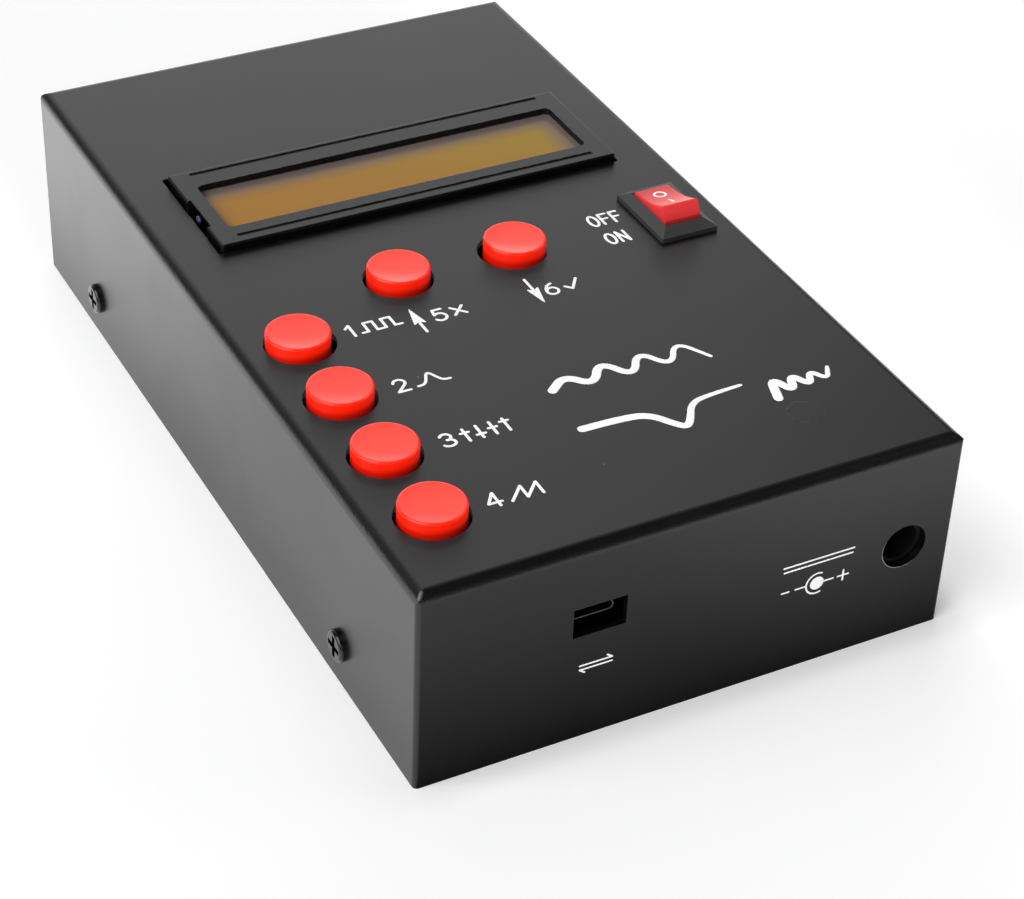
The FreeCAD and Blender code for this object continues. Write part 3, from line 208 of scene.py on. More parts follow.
finishes = {
    "black_coat": {"colour": (0.0026, 0.0026, 0.0029), "shade": (0.0018, 0.0018, 0.002),
                   "polish": (0.345, 0.36), "grain": 2600.0, "depth": 0.006, "dust": 0.5, "wearAndGlint": 0.1,
                   "bendGrain": 9.0, "mitreHighlight": (0.75, 0.35, 0.6, 0.95)},
    "black_screw": {"colour": (0.003, 0.003, 0.0032), "shade": (0.002, 0.002, 0.002), "polish": (0.18, 0.26),
                    "grain": 5000.0, "depth": 0.001, "wearAndGlint": 0.1},
    "black_bezel": {"colour": (0.0022, 0.0026, 0.0022), "shade": (0.0016, 0.0018, 0.0016),
                    "polish": (0.3, 0.34), "ior": 1.46, "grain": 3200.0, "depth": 0.003, "wearAndGlint": 0.5,
                    "wornAndLitRadius": 0.2},
    "key_red": {"colour": (0.86, 0.011, 0.001), "shade": (0.84, 0.01, 0.001), "polish": (0.2, 0.24),
                "ior": 1.46, "grain": 5000.0, "depth": 0.001, "soft": 0.06,
                "glow": (0.6, 0.01, 0.002), "crownGlow": (0.6, 0.04, 0.026),
                "glowFoot": 34.7, "glowTop": 36.2},
    "rocker_red": {"colour": (0.62, 0.03, 0.032), "shade": (0.55, 0.024, 0.026), "polish": (0.4, 0.46),
                   "ior": 1.42, "grain": 5000.0, "depth": 0.0015, "soft": 0.1,
                   "glow": (0.36, 0.02, 0.022), "crownGlow": (0.34, 0.018, 0.02),
                   "glowFoot": 35.4, "glowTop": 38.6},
    "black_plastic": {"colour": (0.043, 0.044, 0.043), "shade": (0.036, 0.037, 0.036), "polish": (0.56, 0.62),
                      "ior": 1.56, "grain": 4200.0, "depth": 0.003, "wearAndGlint": 0.1},
    # The next two finishes are darkened to paint the shade inside the power and data sockets.
    "moulding_painted_shade": {"colour": (0.003, 0.003, 0.003), "shade": (0.002, 0.002, 0.002), "polish": (0.6, 0.7),
                      "ior": 1.4},
    "tin_painted_shade": {"colour": (0.06, 0.06, 0.06), "shade": (0.04, 0.04, 0.04),
                 "polish": (0.5, 0.6), "metal": 1.0},
    "stem_plastic": {"colour": (0.03, 0.03, 0.032), "shade": (0.02, 0.02, 0.022), "polish": (0.5, 0.6)},
    "light_guide": {"colour": (0.85, 0.66, 0.28), "shade": (0.8, 0.6, 0.24), "polish": (0.45, 0.55)},
    "strip_rubber": {"colour": (0.72, 0.42, 0.42), "shade": (0.2, 0.12, 0.12), "polish": (0.7, 0.8)},
    "nickel": {"colour": (0.72, 0.7, 0.66), "shade": (0.62, 0.6, 0.56), "polish": (0.24, 0.36), "metal": 1.0,
               "depth": 0.002, "lines": True},
    "zinc_steel": {"colour": (0.62, 0.62, 0.63), "shade": (0.5, 0.5, 0.52),
                   "polish": (0.34, 0.46), "metal": 1.0, "depth": 0.002, "lines": True},
    "aluminium": {"colour": (0.76, 0.76, 0.77), "shade": (0.66, 0.66, 0.67),
                  "polish": (0.4, 0.5), "metal": 1.0, "depth": 0.003, "lines": True},
    "gold_brass": {"colour": (0.84, 0.6, 0.24), "shade": (0.76, 0.52, 0.2),
                   "polish": (0.22, 0.32), "metal": 1.0, "depth": 0.001},
    "white_insulator": {"colour": (0.84, 0.82, 0.76), "shade": (0.78, 0.76, 0.7), "polish": (0.42, 0.5),
                        "soft": 0.1},
    "ferrite": {"colour": (0.05, 0.05, 0.055), "shade": (0.03, 0.03, 0.033), "polish": (0.55, 0.7),
                "depth": 0.01, "grain": 2500.0},
    "copper_wire": {"colour": (0.66, 0.24, 0.09), "shade": (0.5, 0.17, 0.06), "polish": (0.24, 0.34),
                    "metal": 1.0},
    "can_sleeve": {"colour": (0.02, 0.03, 0.08), "shade": (0.015, 0.02, 0.06), "polish": (0.26, 0.36)},
    "resistor_body": {"colour": (0.34, 0.54, 0.64), "shade": (0.28, 0.46, 0.56), "polish": (0.4, 0.5)},
    "trimmer_blue": {"colour": (0.03, 0.12, 0.5), "shade": (0.02, 0.09, 0.42), "polish": (0.32, 0.42)},
    "rotor_white": {"colour": (0.82, 0.81, 0.78), "shade": (0.74, 0.73, 0.7), "polish": (0.4, 0.5)},
    "red_sleeve": {"colour": (0.5, 0.015, 0.012), "shade": (0.42, 0.012, 0.01), "polish": (0.34, 0.42)},
    "clear_sleeve": {"colour": (0.78, 0.77, 0.72), "shade": (0.7, 0.69, 0.64), "polish": (0.3, 0.4)},
}

effects = {"smudgesPerMetre": 45.0, "wearAndGlintPerMetre": 900.0, "dustPerMetre": 140.0, "dustSize": 0.02,
           "dustColour": (0.3, 0.29, 0.27, 1), "linesPerMetre": 6000.0, "cloudFade": (0.35, 0.65),
           "softDepth": 0.4, "softSpread": (1.0, 0.25, 0.1)}
# The bend grain's lean and fades, then the grey and the core of the painted mitre highlight.
bends = {"lean": 0.62, "fade": (0.2, 0.36), "highlightGrey": (0.2, 0.2, 0.2, 1), "highlightCore": 0.4}
# Painted glow on the red mouldings: its share at the foot, its fade onto upward faces, and how reflections of
# it are painted darker and paler.
paintedGlowLook = {"footShare": 0.08, "crownFade": (0.8, 0.97), "reflectionDarkening": 0.8,
               "reflectedGlowColour": (0.42, 0.36, 0.36, 1)}


def paintMitreHighlight(tree, sizes):  # a painted highlight along the mitre where the left and front bends meet
    inset, drop, halfWidth, reach = inMetres(sizes)
    low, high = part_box("top_cover")
    start = (low.x + inset, low.y + inset, high.z - drop)
    offset = addNode(tree, "VectorMath", {0: addNode(tree, "NewGeometry", {}).outputs["Position"], 1: start},
                     operation="SUBTRACT").outputs["Vector"]
    away = addNode(tree, "VectorMath", {0: offset}, operation="LENGTH").outputs["Value"]
    axes = addNode(tree, "SeparateXYZ", {"Vector": offset}).outputs
    aside = maths(tree, "ABSOLUTE", maths(tree, "SUBTRACT", axes["X"], axes["Y"]))
    return product(tree, remap(tree, away, reach, reach * bends["highlightCore"]),
                   remap(tree, aside, halfWidth, 0.0))


def paintGlow(tree, shader, look, colour):  # painted glow on a red moulding in place of the light on it and through it, strongest at its top and on faces turned upwards and dim at the foot; in reflections it is painted darker, with a paler painted glow
    height = surfaceAxes(tree, "Position")["Z"]
    share = remap(tree, height, look["glowFoot"] * mm, look["glowTop"] * mm, paintedGlowLook["footShare"], 1.0)
    mirrored = addNode(tree, "LightPath", {}).outputs["Is Glossy Ray"]
    direct = maths(tree, "SUBTRACT", 1.0, mirrored)
    darkenedInReflection = blendColour(tree, product(tree, mirrored, paintedGlowLook["reflectionDarkening"]), colour, (0, 0, 0, 1))
    crown = remap(tree, surfaceAxes(tree, "Normal")["Z"], *paintedGlowLook["crownFade"])
    glowColour = blendColour(tree, crown, (*look["glow"], 1), (*look["crownGlow"], 1))
    glowColour = blendColour(tree, mirrored, glowColour, paintedGlowLook["reflectedGlowColour"])
    strength = maths(tree, "ADD", product(tree, share, direct), mirrored)
    fillInputs(tree, shader, {"Emission Color": glowColour, "Base Color": darkenedInReflection, "Emission Strength": strength})


def makeFinish(name, choices):
    look = {**plainLook, **choices}
    material, tree, shader = newMaterial(name)
    grain = addGroup(tree, fineGrain, {"PerMetre": look["grain"]})
    handled = addGroup(tree, smudges, {"PerMetre": effects["smudgesPerMetre"]})["Mask"]
    clouds = remap(tree, grain["Tone"], *effects["cloudFade"])
    colour = blendColour(tree, clouds, (*look["shade"], 1), (*look["colour"], 1))
    # Lighter edges: rubbed coat and a painted edge highlight together.
    if look["wearAndGlint"]:
        wornAndLit = addGroup(tree, edgeWearAndGlint, {"Radius": look["wornAndLitRadius"] * mm,
                                           "PerMetre": effects["wearAndGlintPerMetre"]})["Mask"]
        colour = blendColour(tree, product(tree, wornAndLit, look["wearAndGlint"]), colour, (*look["wornAndLitColour"], 1))
    if look["dust"]:
        specks = addGroup(tree, dust, {"PerMetre": effects["dustPerMetre"],
                                       "Size": effects["dustSize"]})["Mask"]
        colour = blendColour(tree, product(tree, specks, look["dust"]), colour, effects["dustColour"])
    height = grain["Height"]
    if look["lines"]:
        height = addGroup(tree, brushing, {"PerMetre": effects["linesPerMetre"]})["Height"]
    depth = look["depth"] * mm
    if look["bendGrain"]:  # spray lies thicker and coarser over the bends
        lean = maths(tree, "SUBTRACT", surfaceAxes(tree, "Normal")["Z"], bends["lean"])
        depth = remap(tree, maths(tree, "ABSOLUTE", lean), *bends["fade"], depth * look["bendGrain"], depth)
    # A painted highlight along the front-left mitre of the coat.
    if look["mitreHighlight"]:
        colour = blendColour(tree, paintMitreHighlight(tree, look["mitreHighlight"]), colour, bends["highlightGrey"])
    bump = addNode(tree, "Bump", {"Height": height, "Strength": 1.0, "Distance": depth})
    fillInputs(tree, shader, {"Base Color": colour, "Metallic": look["metal"], "IOR": look["ior"],
                              "Roughness": remap(tree, handled, 0.0, 1.0, *look["polish"]),
                              "Subsurface Weight": look["soft"],
                              "Subsurface Scale": effects["softDepth"] * mm,
                              "Subsurface Radius": effects["softSpread"], "Normal": bump.outputs[0]})
    # Painted glow on the red mouldings.
    if look["glow"]:
        paintGlow(tree, shader, look, colour)
    return material


boardLook = {"lacquer": (0.012, 0.1, 0.035, 1), "track": (0.03, 0.22, 0.08, 1), "cellsPerMetre": 190.0,
             "bandsPerCell": 22.0, "trackFade": (0.1, 0.3), "trackRise": 0.02, "polish": (0.34, 0.26)}


def makeBoard():  # green lacquer with the tracks showing through as paler bands
    material, tree, shader = newMaterial("boardLaminate")
    cells = addNode(tree, "TexVoronoi", {"Vector": objectPlace(tree), "Scale": boardLook["cellsPerMetre"]},
                    distance="CHEBYCHEV", feature="F1")
    bands = maths(tree, "SINE", product(tree, cells.outputs["Distance"], boardLook["bandsPerCell"]))
    track = remap(tree, bands, *boardLook["trackFade"])
    colour = blendColour(tree, track, boardLook["lacquer"], boardLook["track"])
    bump = addNode(tree, "Bump", {"Height": track, "Strength": 1.0, "Distance": boardLook["trackRise"] * mm})
    fillInputs(tree, shader, {"Base Color": colour, "Normal": bump.outputs[0],
                              "Roughness": remap(tree, track, 0.0, 1.0, *boardLook["polish"])})
    return material


# The plum band is a painted shadow of the bezel on the film; its fades set where it ends.
displayLook = {"frontAmber": (0.41, 0.184, 0.014, 1), "rearOlive": (0.38, 0.228, 0.015, 1),
               "bezelShadow": (0.165, 0.13, 0.125, 1), "rearFade": (0.4, 5.4), "endFade": (-0.6, 5.5),
               "sideLip": 3.05, "rearLip": 4.9, "leftFade": (0, -5), "slant": 2.5, "slantFade": (-40, 22),
               "driftPerMetre": 60.0, "wobble": 0.6, "driftFade": (0.3, 0.7), "polish": (0.16, 0.2),
               "specular": 0.2, "blackEdge": (0.002, 0.002, 0.002, 1), "edgeFrom": -0.6, "upFacing": 0.5}


def makeDisplay():  # lit film under glass: amber in front, olive behind, and a plum painted shadow of the bezel along the rear and an end
    bezelLow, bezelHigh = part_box("lcd_bezel")
    centre = (bezelLow + bezelHigh) / 2
    halfWidth = (bezelHigh.x - bezelLow.x) / 2 - displayLook["sideLip"] * mm
    rearEdge = bezelHigh.y - displayLook["rearLip"] * mm
    material, tree, shader = newMaterial("displayFilm")
    place = addNode(tree, "SeparateXYZ", {"Vector": objectPlace(tree, centre=(centre.x, rearEdge, 0))})
    across, along = place.outputs["X"], place.outputs["Y"]
    drift = addNode(tree, "TexNoise", {"Vector": objectPlace(tree), "Scale": displayLook["driftPerMetre"],
                                       "Detail": 2.0}).outputs["Fac"]
    wobble = product(tree, maths(tree, "SUBTRACT", drift, 0.5), displayLook["wobble"] * mm)
    fromRear = maths(tree, "ADD", product(tree, along, -1.0), wobble)
    fromEnd = maths(tree, "SUBTRACT", halfWidth, maths(tree, "ABSOLUTE", across))
    rear = remap(tree, fromRear, *inMetres(displayLook["rearFade"]))
    end = remap(tree, fromEnd, *inMetres(displayLook["endFade"]))
    leftHalf = remap(tree, across, *inMetres(displayLook["leftFade"]))
    lit = product(tree, rear, maths(tree, "MAXIMUM", end, leftHalf))
    slanted = maths(tree, "ADD", across, product(tree, along, displayLook["slant"]))
    film = blendColour(tree, remap(tree, slanted, *inMetres(displayLook["slantFade"])),
                       displayLook["frontAmber"], displayLook["rearOlive"])
    upward = maths(tree, "GREATER_THAN", surfaceAxes(tree, "Normal")["Z"], displayLook["upFacing"])
    shown = product(tree, upward, maths(tree, "GREATER_THAN", fromEnd, displayLook["edgeFrom"] * mm))
    colour = blendColour(tree, shown, displayLook["blackEdge"],
                         blendColour(tree, lit, displayLook["bezelShadow"], film))
    fillInputs(tree, shader, {
        "Base Color": colour, "Specular IOR Level": displayLook["specular"],
        "Roughness": remap(tree, drift, *displayLook["driftFade"], *displayLook["polish"])})
    return material


materials = {name: makeFinish(name, choices) for name, choices in finishes.items()}
materials["board_laminate"] = makeBoard()
materials["display_glass"] = makeDisplay()

# Parts deep in the sockets get darkened finishes that paint the shade in the holes.
partsPaintedInShade = {"dc_jack_housing": "moulding_painted_shade", "usb_shell": "tin_painted_shade", "usb_tongue": "moulding_painted_shade"}

for part in frame["record"]["subparts"]:
    dressed = nodes[part["node"]]
    finish = partsPaintedInShade.get(part["node"], part["material_slot"])
    dressed.data.materials.clear()
    dressed.data.materials.append(materials[finish])
print("finishes placed on", len(nodes), "nodes")


# Printed marks: pen strokes with round ends, pressed flat onto the surface that carries them.
# whiteGlow is a painted glow that keeps the white print bright.
ink = {"capAngles": (80, 60, 40, 20), "rise": 0.015, "ringSides": 3, "joined": 1e-7, "grain": 3500.0,
       "cloudFade": (0.3, 0.7), "shade": 0.9, "bump": 0.6, "depth": 0.004, "dulling": 0.1,
       "white": (0.95, 0.95, 0.94), "whiteRoughness": 0.5, "whiteGlow": 0.3}


def makeInk(name, colour, roughness, glow):
    material, tree, shader = newMaterial(name)
    grain = addGroup(tree, fineGrain, {"PerMetre": ink["grain"]})
    clouds = remap(tree, grain["Tone"], *ink["cloudFade"])
    shade = tuple(c * ink["shade"] for c in colour)
    tint = blendColour(tree, clouds, (*shade, 1), (*colour, 1))
    bump = addNode(tree, "Bump", {"Height": grain["Height"], "Strength": ink["bump"],
                                  "Distance": ink["depth"] * mm})
    fillInputs(tree, shader, {
        "Base Color": tint, "Roughness": remap(tree, clouds, 0.0, 1.0, roughness, roughness + ink["dulling"]),
        "Normal": bump.outputs[0], "Emission Color": tint, "Emission Strength": glow})
    return material


whiteInk = makeInk("whiteInk", ink["white"], ink["whiteRoughness"], ink["whiteGlow"])


def arc(centre, radii, start, end, steps=14):
    angles = [math.radians(start + (end - start) * i / steps) for i in range(steps + 1)]
    return [(centre[0] + radii[0] * math.cos(a), centre[1] + radii[1] * math.sin(a)) for a in angles]


def legs(*points):  # straight strokes from point to point
    return [list(pair) for pair in zip(points, points[1:])]


# Each figure is drawn one unit tall.
figures = {
    "1": legs((0.08, 0.76), (0.32, 1.0), (0.32, 0.0)),
    "2": [arc((0.3, 0.71), (0.28, 0.29), 165, -38) + [(0.02, 0.0)]] + legs((0.02, 0.0), (0.6, 0.0)),
    "3": [arc((0.28, 0.75), (0.26, 0.25), 155, -90), arc((0.28, 0.26), (0.31, 0.26), 90, -155)],
    "4": legs((0.46, 0.0), (0.46, 1.0), (0.0, 0.28), (0.64, 0.28)),
    "5": legs((0.55, 1.0), (0.12, 1.0), (0.06, 0.55)) + [arc((0.28, 0.33), (0.31, 0.33), 128, -150)],
    "6": [arc((0.3, 0.31), (0.29, 0.31), 180, -180, 24), arc((0.62, 0.31), (0.61, 0.69), 180, 104)],
    "O": [arc((0.32, 0.5), (0.31, 0.5), 90, 450, 28)],
    "N": legs((0.0, 0.0), (0.0, 1.0), (0.58, 0.0), (0.58, 1.0)),
    "F": legs((0.0, 0.0), (0.0, 1.0), (0.54, 1.0)) + legs((0.0, 0.53), (0.46, 0.53)),
    "steps": legs((0.0, 0.1), (0.3, 0.1), (0.3, 0.9), (0.75, 0.9), (0.75, 0.1), (1.2, 0.1), (1.2, 0.9),
                  (1.65, 0.9), (1.65, 0.1), (2.0, 0.1)),
    "hump": [[(0.05 * i, 0.08 + 0.85 * math.exp(-((0.05 * i - 0.8) / 0.3) ** 2)) for i in range(33)]],
    "sliders": [stroke for i, knob in enumerate((0.7, 0.3, 0.55, 0.8)) for stroke in
                legs((0.1 + 0.66 * i, 0.0), (0.1 + 0.66 * i, 1.0))
                + legs((-0.1 + 0.66 * i, knob), (0.3 + 0.66 * i, knob))],
    "ramps": legs((0.0, 0.05), (0.75, 0.95), (0.75, 0.05), (1.5, 0.95), (1.5, 0.05)),
    "cross": legs((0.0, 0.15), (0.6, 0.85)) + legs((0.0, 0.85), (0.6, 0.15)),
    "tick": legs((0.0, 0.42), (0.28, 0.1), (0.8, 0.9)),
}


def roundEnd(tip, beside, halfWidth, weight):  # ever thinner knots that close a stroke's end, outermost last
    outward = (tip - beside).normalized() * halfWidth * mm * weight
    angles = [math.radians(angle) for angle in ink["capAngles"][::-1]]
    return [(tip + outward * math.sin(angle), weight * math.cos(angle)) for angle in angles]


def drawStrokes(name, strokes, width, taper=None):
    curve = bpy.data.curves.new(name, "CURVE")
    curve.dimensions = "3D"
    curve.bevel_depth = width / 2 * mm
    curve.bevel_resolution = ink["ringSides"]
    curve.use_fill_caps = True
    for stroke in strokes:
        path = [Vector((x, y, 0)) * mm for x, y in stroke]
        closed = (path[0] - path[-1]).length < ink["joined"]
        weights = [taper(i / (len(path) - 1)) if taper else 1.0 for i in range(len(path))]
        knots = list(zip(path, weights))
        if closed:
            knots.pop()
        else:
            first = roundEnd(path[0], path[1], width / 2, weights[0])
            last = roundEnd(path[-1], path[-2], width / 2, weights[-1])
            knots = first[::-1] + knots + last
        spline = curve.splines.new("POLY")
        spline.points.add(len(knots) - 1)
        for point, (place, weight) in zip(spline.points, knots):
            point.co = (*place, 1)
            point.radius = weight
        spline.use_cyclic_u = closed
    drawing = bpy.data.objects.new(name + "Drawing", curve)
    scene.collection.objects.link(drawing)
    mesh = bpy.data.meshes.new_from_object(drawing.evaluated_get(bpy.context.evaluated_depsgraph_get()))
    bpy.data.objects.remove(drawing)
    flatten = 2 * ink["rise"] / width
    mesh.transform(Matrix.Diagonal((1, 1, flatten, 1)))
    mesh.name = name
    return mesh


def addPiece(name, mesh, material, body="case"):
    piece = bpy.data.objects.new(name, mesh)
    scene.collection.objects.link(piece)
    mesh.materials.clear()
    mesh.materials.append(material)
    for face in mesh.polygons:
        face.use_smooth = True
        face.material_index = 0
    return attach(piece, body)


def spell(words, left, foot, height, gap, spread):
    strokes = []
    for word in words:
        drawn = [[(x * spread * height, y * height) for x, y in stroke] for stroke in figures[word]]
        leftmost = min(x for stroke in drawn for x, y in stroke)
        strokes += [[(x - leftmost + left, y + foot) for x, y in stroke] for stroke in drawn]
        left += max(x for stroke in drawn for x, y in stroke) - leftmost + gap * height
    return strokes


def onPanel(mesh, node="top_cover"):  # lowers a drawing onto the top of the part that carries it
    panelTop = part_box(node)[1].z
    mesh.transform(Matrix.Translation((0, 0, panelTop)))
    return mesh


def standing(mesh, y):  # stands a drawing up at this depth, its face towards the power end
    mesh.transform(Matrix.Translation((0, y, 0)) @ Matrix.Rotation(math.radians(90), 4, "X"))
    return mesh


def onFront(mesh):
    return standing(mesh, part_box("top_cover")[0].y)


labels = {"height": 2.95, "pen": 0.48, "gap": 0.45, "spread": 1.1,
          "words": {("1", "steps"): (-26.45, -15.4), ("2", "hump"): (-26.0, -31.3),
                    ("3", "sliders"): (-25.75, -46.25), ("4", "ramps"): (-26.25, -61.4),
                    ("5", "cross"): (-12.7, -16.9), ("6", "tick"): (6.2, -17.5)},
          "switchWords": {"OFF": (21.85, -2.8), "ON": (21.95, -8.5)}, "switchGap": 0.25, "switchSpread": 0.8}

# Each arrow is its place across, its tail and its tip.
arrows = {"up": (-15.4, -18.7, -12.2), "down": (4.5, -12.0, -18.9), "headLength": 4.0, "headHalfWidth": 0.85,
          "shaftEnd": 0.6, "barbs": (0.25, 0.6, 0.95), "sweep": 0.5, "headPen": 0.34, "headTaper": 0.7}


def arrowStrokes(x, tail, tip):
    way = 1 if tip > tail else -1
    base = tip - way * arrows["headLength"]
    shaft = legs((x, tail), (x, tip - way * arrows["shaftEnd"]))
    side = arrows["headHalfWidth"]
    barbs = [stroke for k in arrows["barbs"] for s in (-side * k, side * k)
             for stroke in legs((x + s, base + way * arrows["sweep"] * (1 - k)), (x, tip))]
    return shaft, barbs


def headTaper(t):
    return 1 - arrows["headTaper"] * t


panelStrokes = []
for words, (left, foot) in labels["words"].items():
    panelStrokes += spell(words, left, foot, labels["height"], labels["gap"], labels["spread"])
for word, (left, foot) in labels["switchWords"].items():
    panelStrokes += spell(word, left, foot, labels["height"], labels["switchGap"], labels["switchSpread"])
addPiece("panel_marks", onPanel(drawStrokes("panel_marks", panelStrokes, labels["pen"])), whiteInk)

shafts, heads = [], []
for way in ("up", "down"):
    shaft, barbs = arrowStrokes(*arrows[way])
    shafts += shaft
    heads += barbs
addPiece("arrow_shafts", onPanel(drawStrokes("arrow_shafts", shafts, labels["pen"])), whiteInk)
addPiece("arrow_heads", onPanel(drawStrokes("arrow_heads", heads, arrows["headPen"], headTaper)), whiteInk)

# Lines drawn by hand with a brush that runs dry, in units of height.
brush = {"width": 1.5, "dryness": 0.62, "height": 5.2, "upper": (-5.45, -41.8), "lower": (-6.05, -55.6),
         "roundings": 3, "cornerCut": 0.25,
         "burst": {"turns": 9, "step": 0.62, "swing": 0.55, "first": 0.35, "growth": 0.22},
         "dip": ((0, 1.0), (1.1, 0.98), (2.0, 0.86), (2.5, 0.1), (2.72, -0.1), (2.95, 0.12), (3.4, 0.86),
                 (4.2, 0.96), (5.1, 1.0)),
         "ripple": {"turns": 8, "start": 5.75, "step": 0.3, "swing": 0.5, "shrink": 0.07}}


def brushFigure(corner, *strokes):
    left, foot = corner
    scale = brush["height"]
    return [[(left + x * scale, foot + y * scale) for x, y in stroke] for stroke in strokes]


def smoothThrough(points):  # rounds a hand-drawn line by repeated corner cutting
    line = [Vector(p) for p in points]
    near = brush["cornerCut"]
    for _ in range(brush["roundings"]):
        cut = [line[0]]
        for a, b in zip(line, line[1:]):
            cut += [a.lerp(b, near), a.lerp(b, 1 - near)]
        line = cut + [line[-1]]
    return [(p.x, p.y) for p in line]


def zigzag(start, step, swings):  # down first, then up, about the middle of the line's height
    return [(start + step * i, 0.5 + (swing if i % 2 else -swing)) for i, swing in enumerate(swings)]


def handWaves():
    burst, ripple = brush["burst"], brush["ripple"]
    growing = [burst["swing"] * min(1, burst["first"] + burst["growth"] * i) for i in range(burst["turns"])]
    fading = [ripple["swing"] * (1 - ripple["shrink"] * i) for i in range(ripple["turns"])]
    upper = smoothThrough(zigzag(0, burst["step"], growing))
    right = smoothThrough(zigzag(ripple["start"], ripple["step"], fading))
    left = smoothThrough(brush["dip"])
    return brushFigure(brush["upper"], upper) + brushFigure(brush["lower"], left, right)


def runningDry(t):
    return 1.0 - brush["dryness"] * t ** 2


addPiece("wave_sketches", onPanel(drawStrokes("wave_sketches", handWaves(), brush["width"], runningDry)),
         whiteInk)

frontMarks = {"pen": 0.29, "height": 14.95, "minus": (14.7, 15.9), "leadIn": (17.0, 18.75),
              "ring": (20.7, 1.85), "ringGap": 68, "dot": 1.15, "dotOverlap": 1.04, "leadOut": (21.85, 23.5),
              "plus": (25.2, 0.93), "supply": (14.6, 26.6, 19.2, 0.85), "dashes": 3, "dashInset": 0.15,
              "swap": (-18.4, -13.2, 13.0, 0.75), "barb": (0.8, 0.6)}


def polarityStrokes():  # minus, the ring around the centre pin, plus
    height = frontMarks["height"]
    ringX, ringRadius = frontMarks["ring"]
    plusX, plusArm = frontMarks["plus"]
    gap = frontMarks["ringGap"]
    bars = (frontMarks["minus"], frontMarks["leadIn"], frontMarks["leadOut"],
            (plusX - plusArm, plusX + plusArm))
    strokes = [[(start, height), (end, height)] for start, end in bars]
    strokes += legs((plusX, height - plusArm), (plusX, height + plusArm))
    return strokes + [arc((ringX, height), (ringRadius, ringRadius), gap, 360 - gap, 26)]


def supplyStrokes():  # direct current: a line over three dashes
    left, right, middle, apart = frontMarks["supply"]
    dash, inset = (right - left) / frontMarks["dashes"], frontMarks["dashInset"]
    low = middle - apart / 2
    return legs((left, middle + apart / 2), (right, middle + apart / 2)) + [
        [(left + dash * i + inset, low), (left + dash * (i + 1) - inset, low)]
        for i in range(frontMarks["dashes"])]


def swapStrokes():  # data in and out: two half arrows
    left, right, middle, apart = frontMarks["swap"]
    back, out = frontMarks["barb"]
    strokes = []
    for way, tail, tip in ((1, left, right), (-1, right, left)):
        level = middle + way * apart / 2
        strokes += legs((tail, level), (tip, level), (tip - way * back, level + way * out))
    return strokes


frontStrokes = polarityStrokes() + supplyStrokes() + swapStrokes()
addPiece("power_end_marks", onFront(drawStrokes("power_end_marks", frontStrokes, frontMarks["pen"])),
         whiteInk)
dotRadius = frontMarks["dot"]
dotStroke = [arc((frontMarks["ring"][0], frontMarks["height"]), (dotRadius / 2, dotRadius / 2), 0, 360, 24)]
dotPen = dotRadius * frontMarks["dotOverlap"]
addPiece("power_pin_dot", onFront(drawStrokes("power_pin_dot", dotStroke, dotPen)), whiteInk)

rockerMarks = {"pen": 0.38, "ring": 0.93, "ringBack": 2.3, "bar": 1.5, "barForward": 0.55, "barSteps": 8,
               "dropFrom": 5}


def onPaddle(mesh):  # drops each point of a drawing straight down onto the paddle
    paddle = nodes["rocker_paddle"]
    surface = BVHTree.FromObject(paddle, bpy.context.evaluated_depsgraph_get())
    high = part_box("rocker_paddle")[1].z + rockerMarks["dropFrom"] * mm
    for vertex in mesh.vertices:
        found = surface.ray_cast(Vector((vertex.co.x, vertex.co.y, high)), Vector((0, 0, -1)))[0]
        if found is not None:
            vertex.co.z += found.z
    return mesh


paddleMiddle = sum(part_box("rocker_paddle"), Vector()) / 2 / mm
ringCentre = (paddleMiddle.x, paddleMiddle.y + rockerMarks["ringBack"])
ringStroke = [arc(ringCentre, (rockerMarks["ring"],) * 2, 90, 450, 32)]
barY = paddleMiddle.y - rockerMarks["barForward"]
barSteps = rockerMarks["barSteps"]
barStroke = [[(paddleMiddle.x, barY - rockerMarks["bar"] * (i / barSteps)) for i in range(barSteps + 1)]]
addPiece("rocker_off_ring", onPaddle(drawStrokes("rocker_off_ring", ringStroke, rockerMarks["pen"])),
         whiteInk, "rocker")
addPiece("rocker_on_bar", onPaddle(drawStrokes("rocker_on_bar", barStroke, rockerMarks["pen"])),
         whiteInk, "rocker")
print("marks printed")


# Small things on the cover: a hexagon pressed through by a pillar's weld, and a small dark blue bead at the
# glass.
touches = {"hexagon": (25.5, -60.2, 5.3, 0.008), "hexagonTop": 0.93, "bead": (-34.95, 24.1, 35.15),
           "beadRadii": (0.42, 0.85, 0.55),
           "beadFinish": {"colour": (0.03, 0.036, 0.085), "shade": (0.016, 0.02, 0.05), "polish": (0.3, 0.4),
                    "grain": 3000.0}}


def keepMesh(mesh, name):
    made = bpy.data.meshes.new(name)
    mesh.to_mesh(made)
    mesh.free()
    return made


def makeWeldMark():
    x, y, acrossFlats, rise = touches["hexagon"]
    mesh = bmesh.new()
    bmesh.ops.create_circle(mesh, cap_ends=True, segments=6, radius=acrossFlats / math.sqrt(3) * mm)
    raised = bmesh.ops.extrude_face_region(mesh, geom=mesh.faces[:])
    top = [item for item in raised["geom"] if isinstance(item, bmesh.types.BMVert)]
    bmesh.ops.translate(mesh, verts=top, vec=(0, 0, rise * mm))
    bmesh.ops.scale(mesh, verts=top, vec=(touches["hexagonTop"], touches["hexagonTop"], 1))
    bmesh.ops.recalc_face_normals(mesh, faces=mesh.faces)
    bmesh.ops.translate(mesh, verts=mesh.verts, vec=(x * mm, y * mm, 0))
    return onPanel(keepMesh(mesh, "weld_mark"))


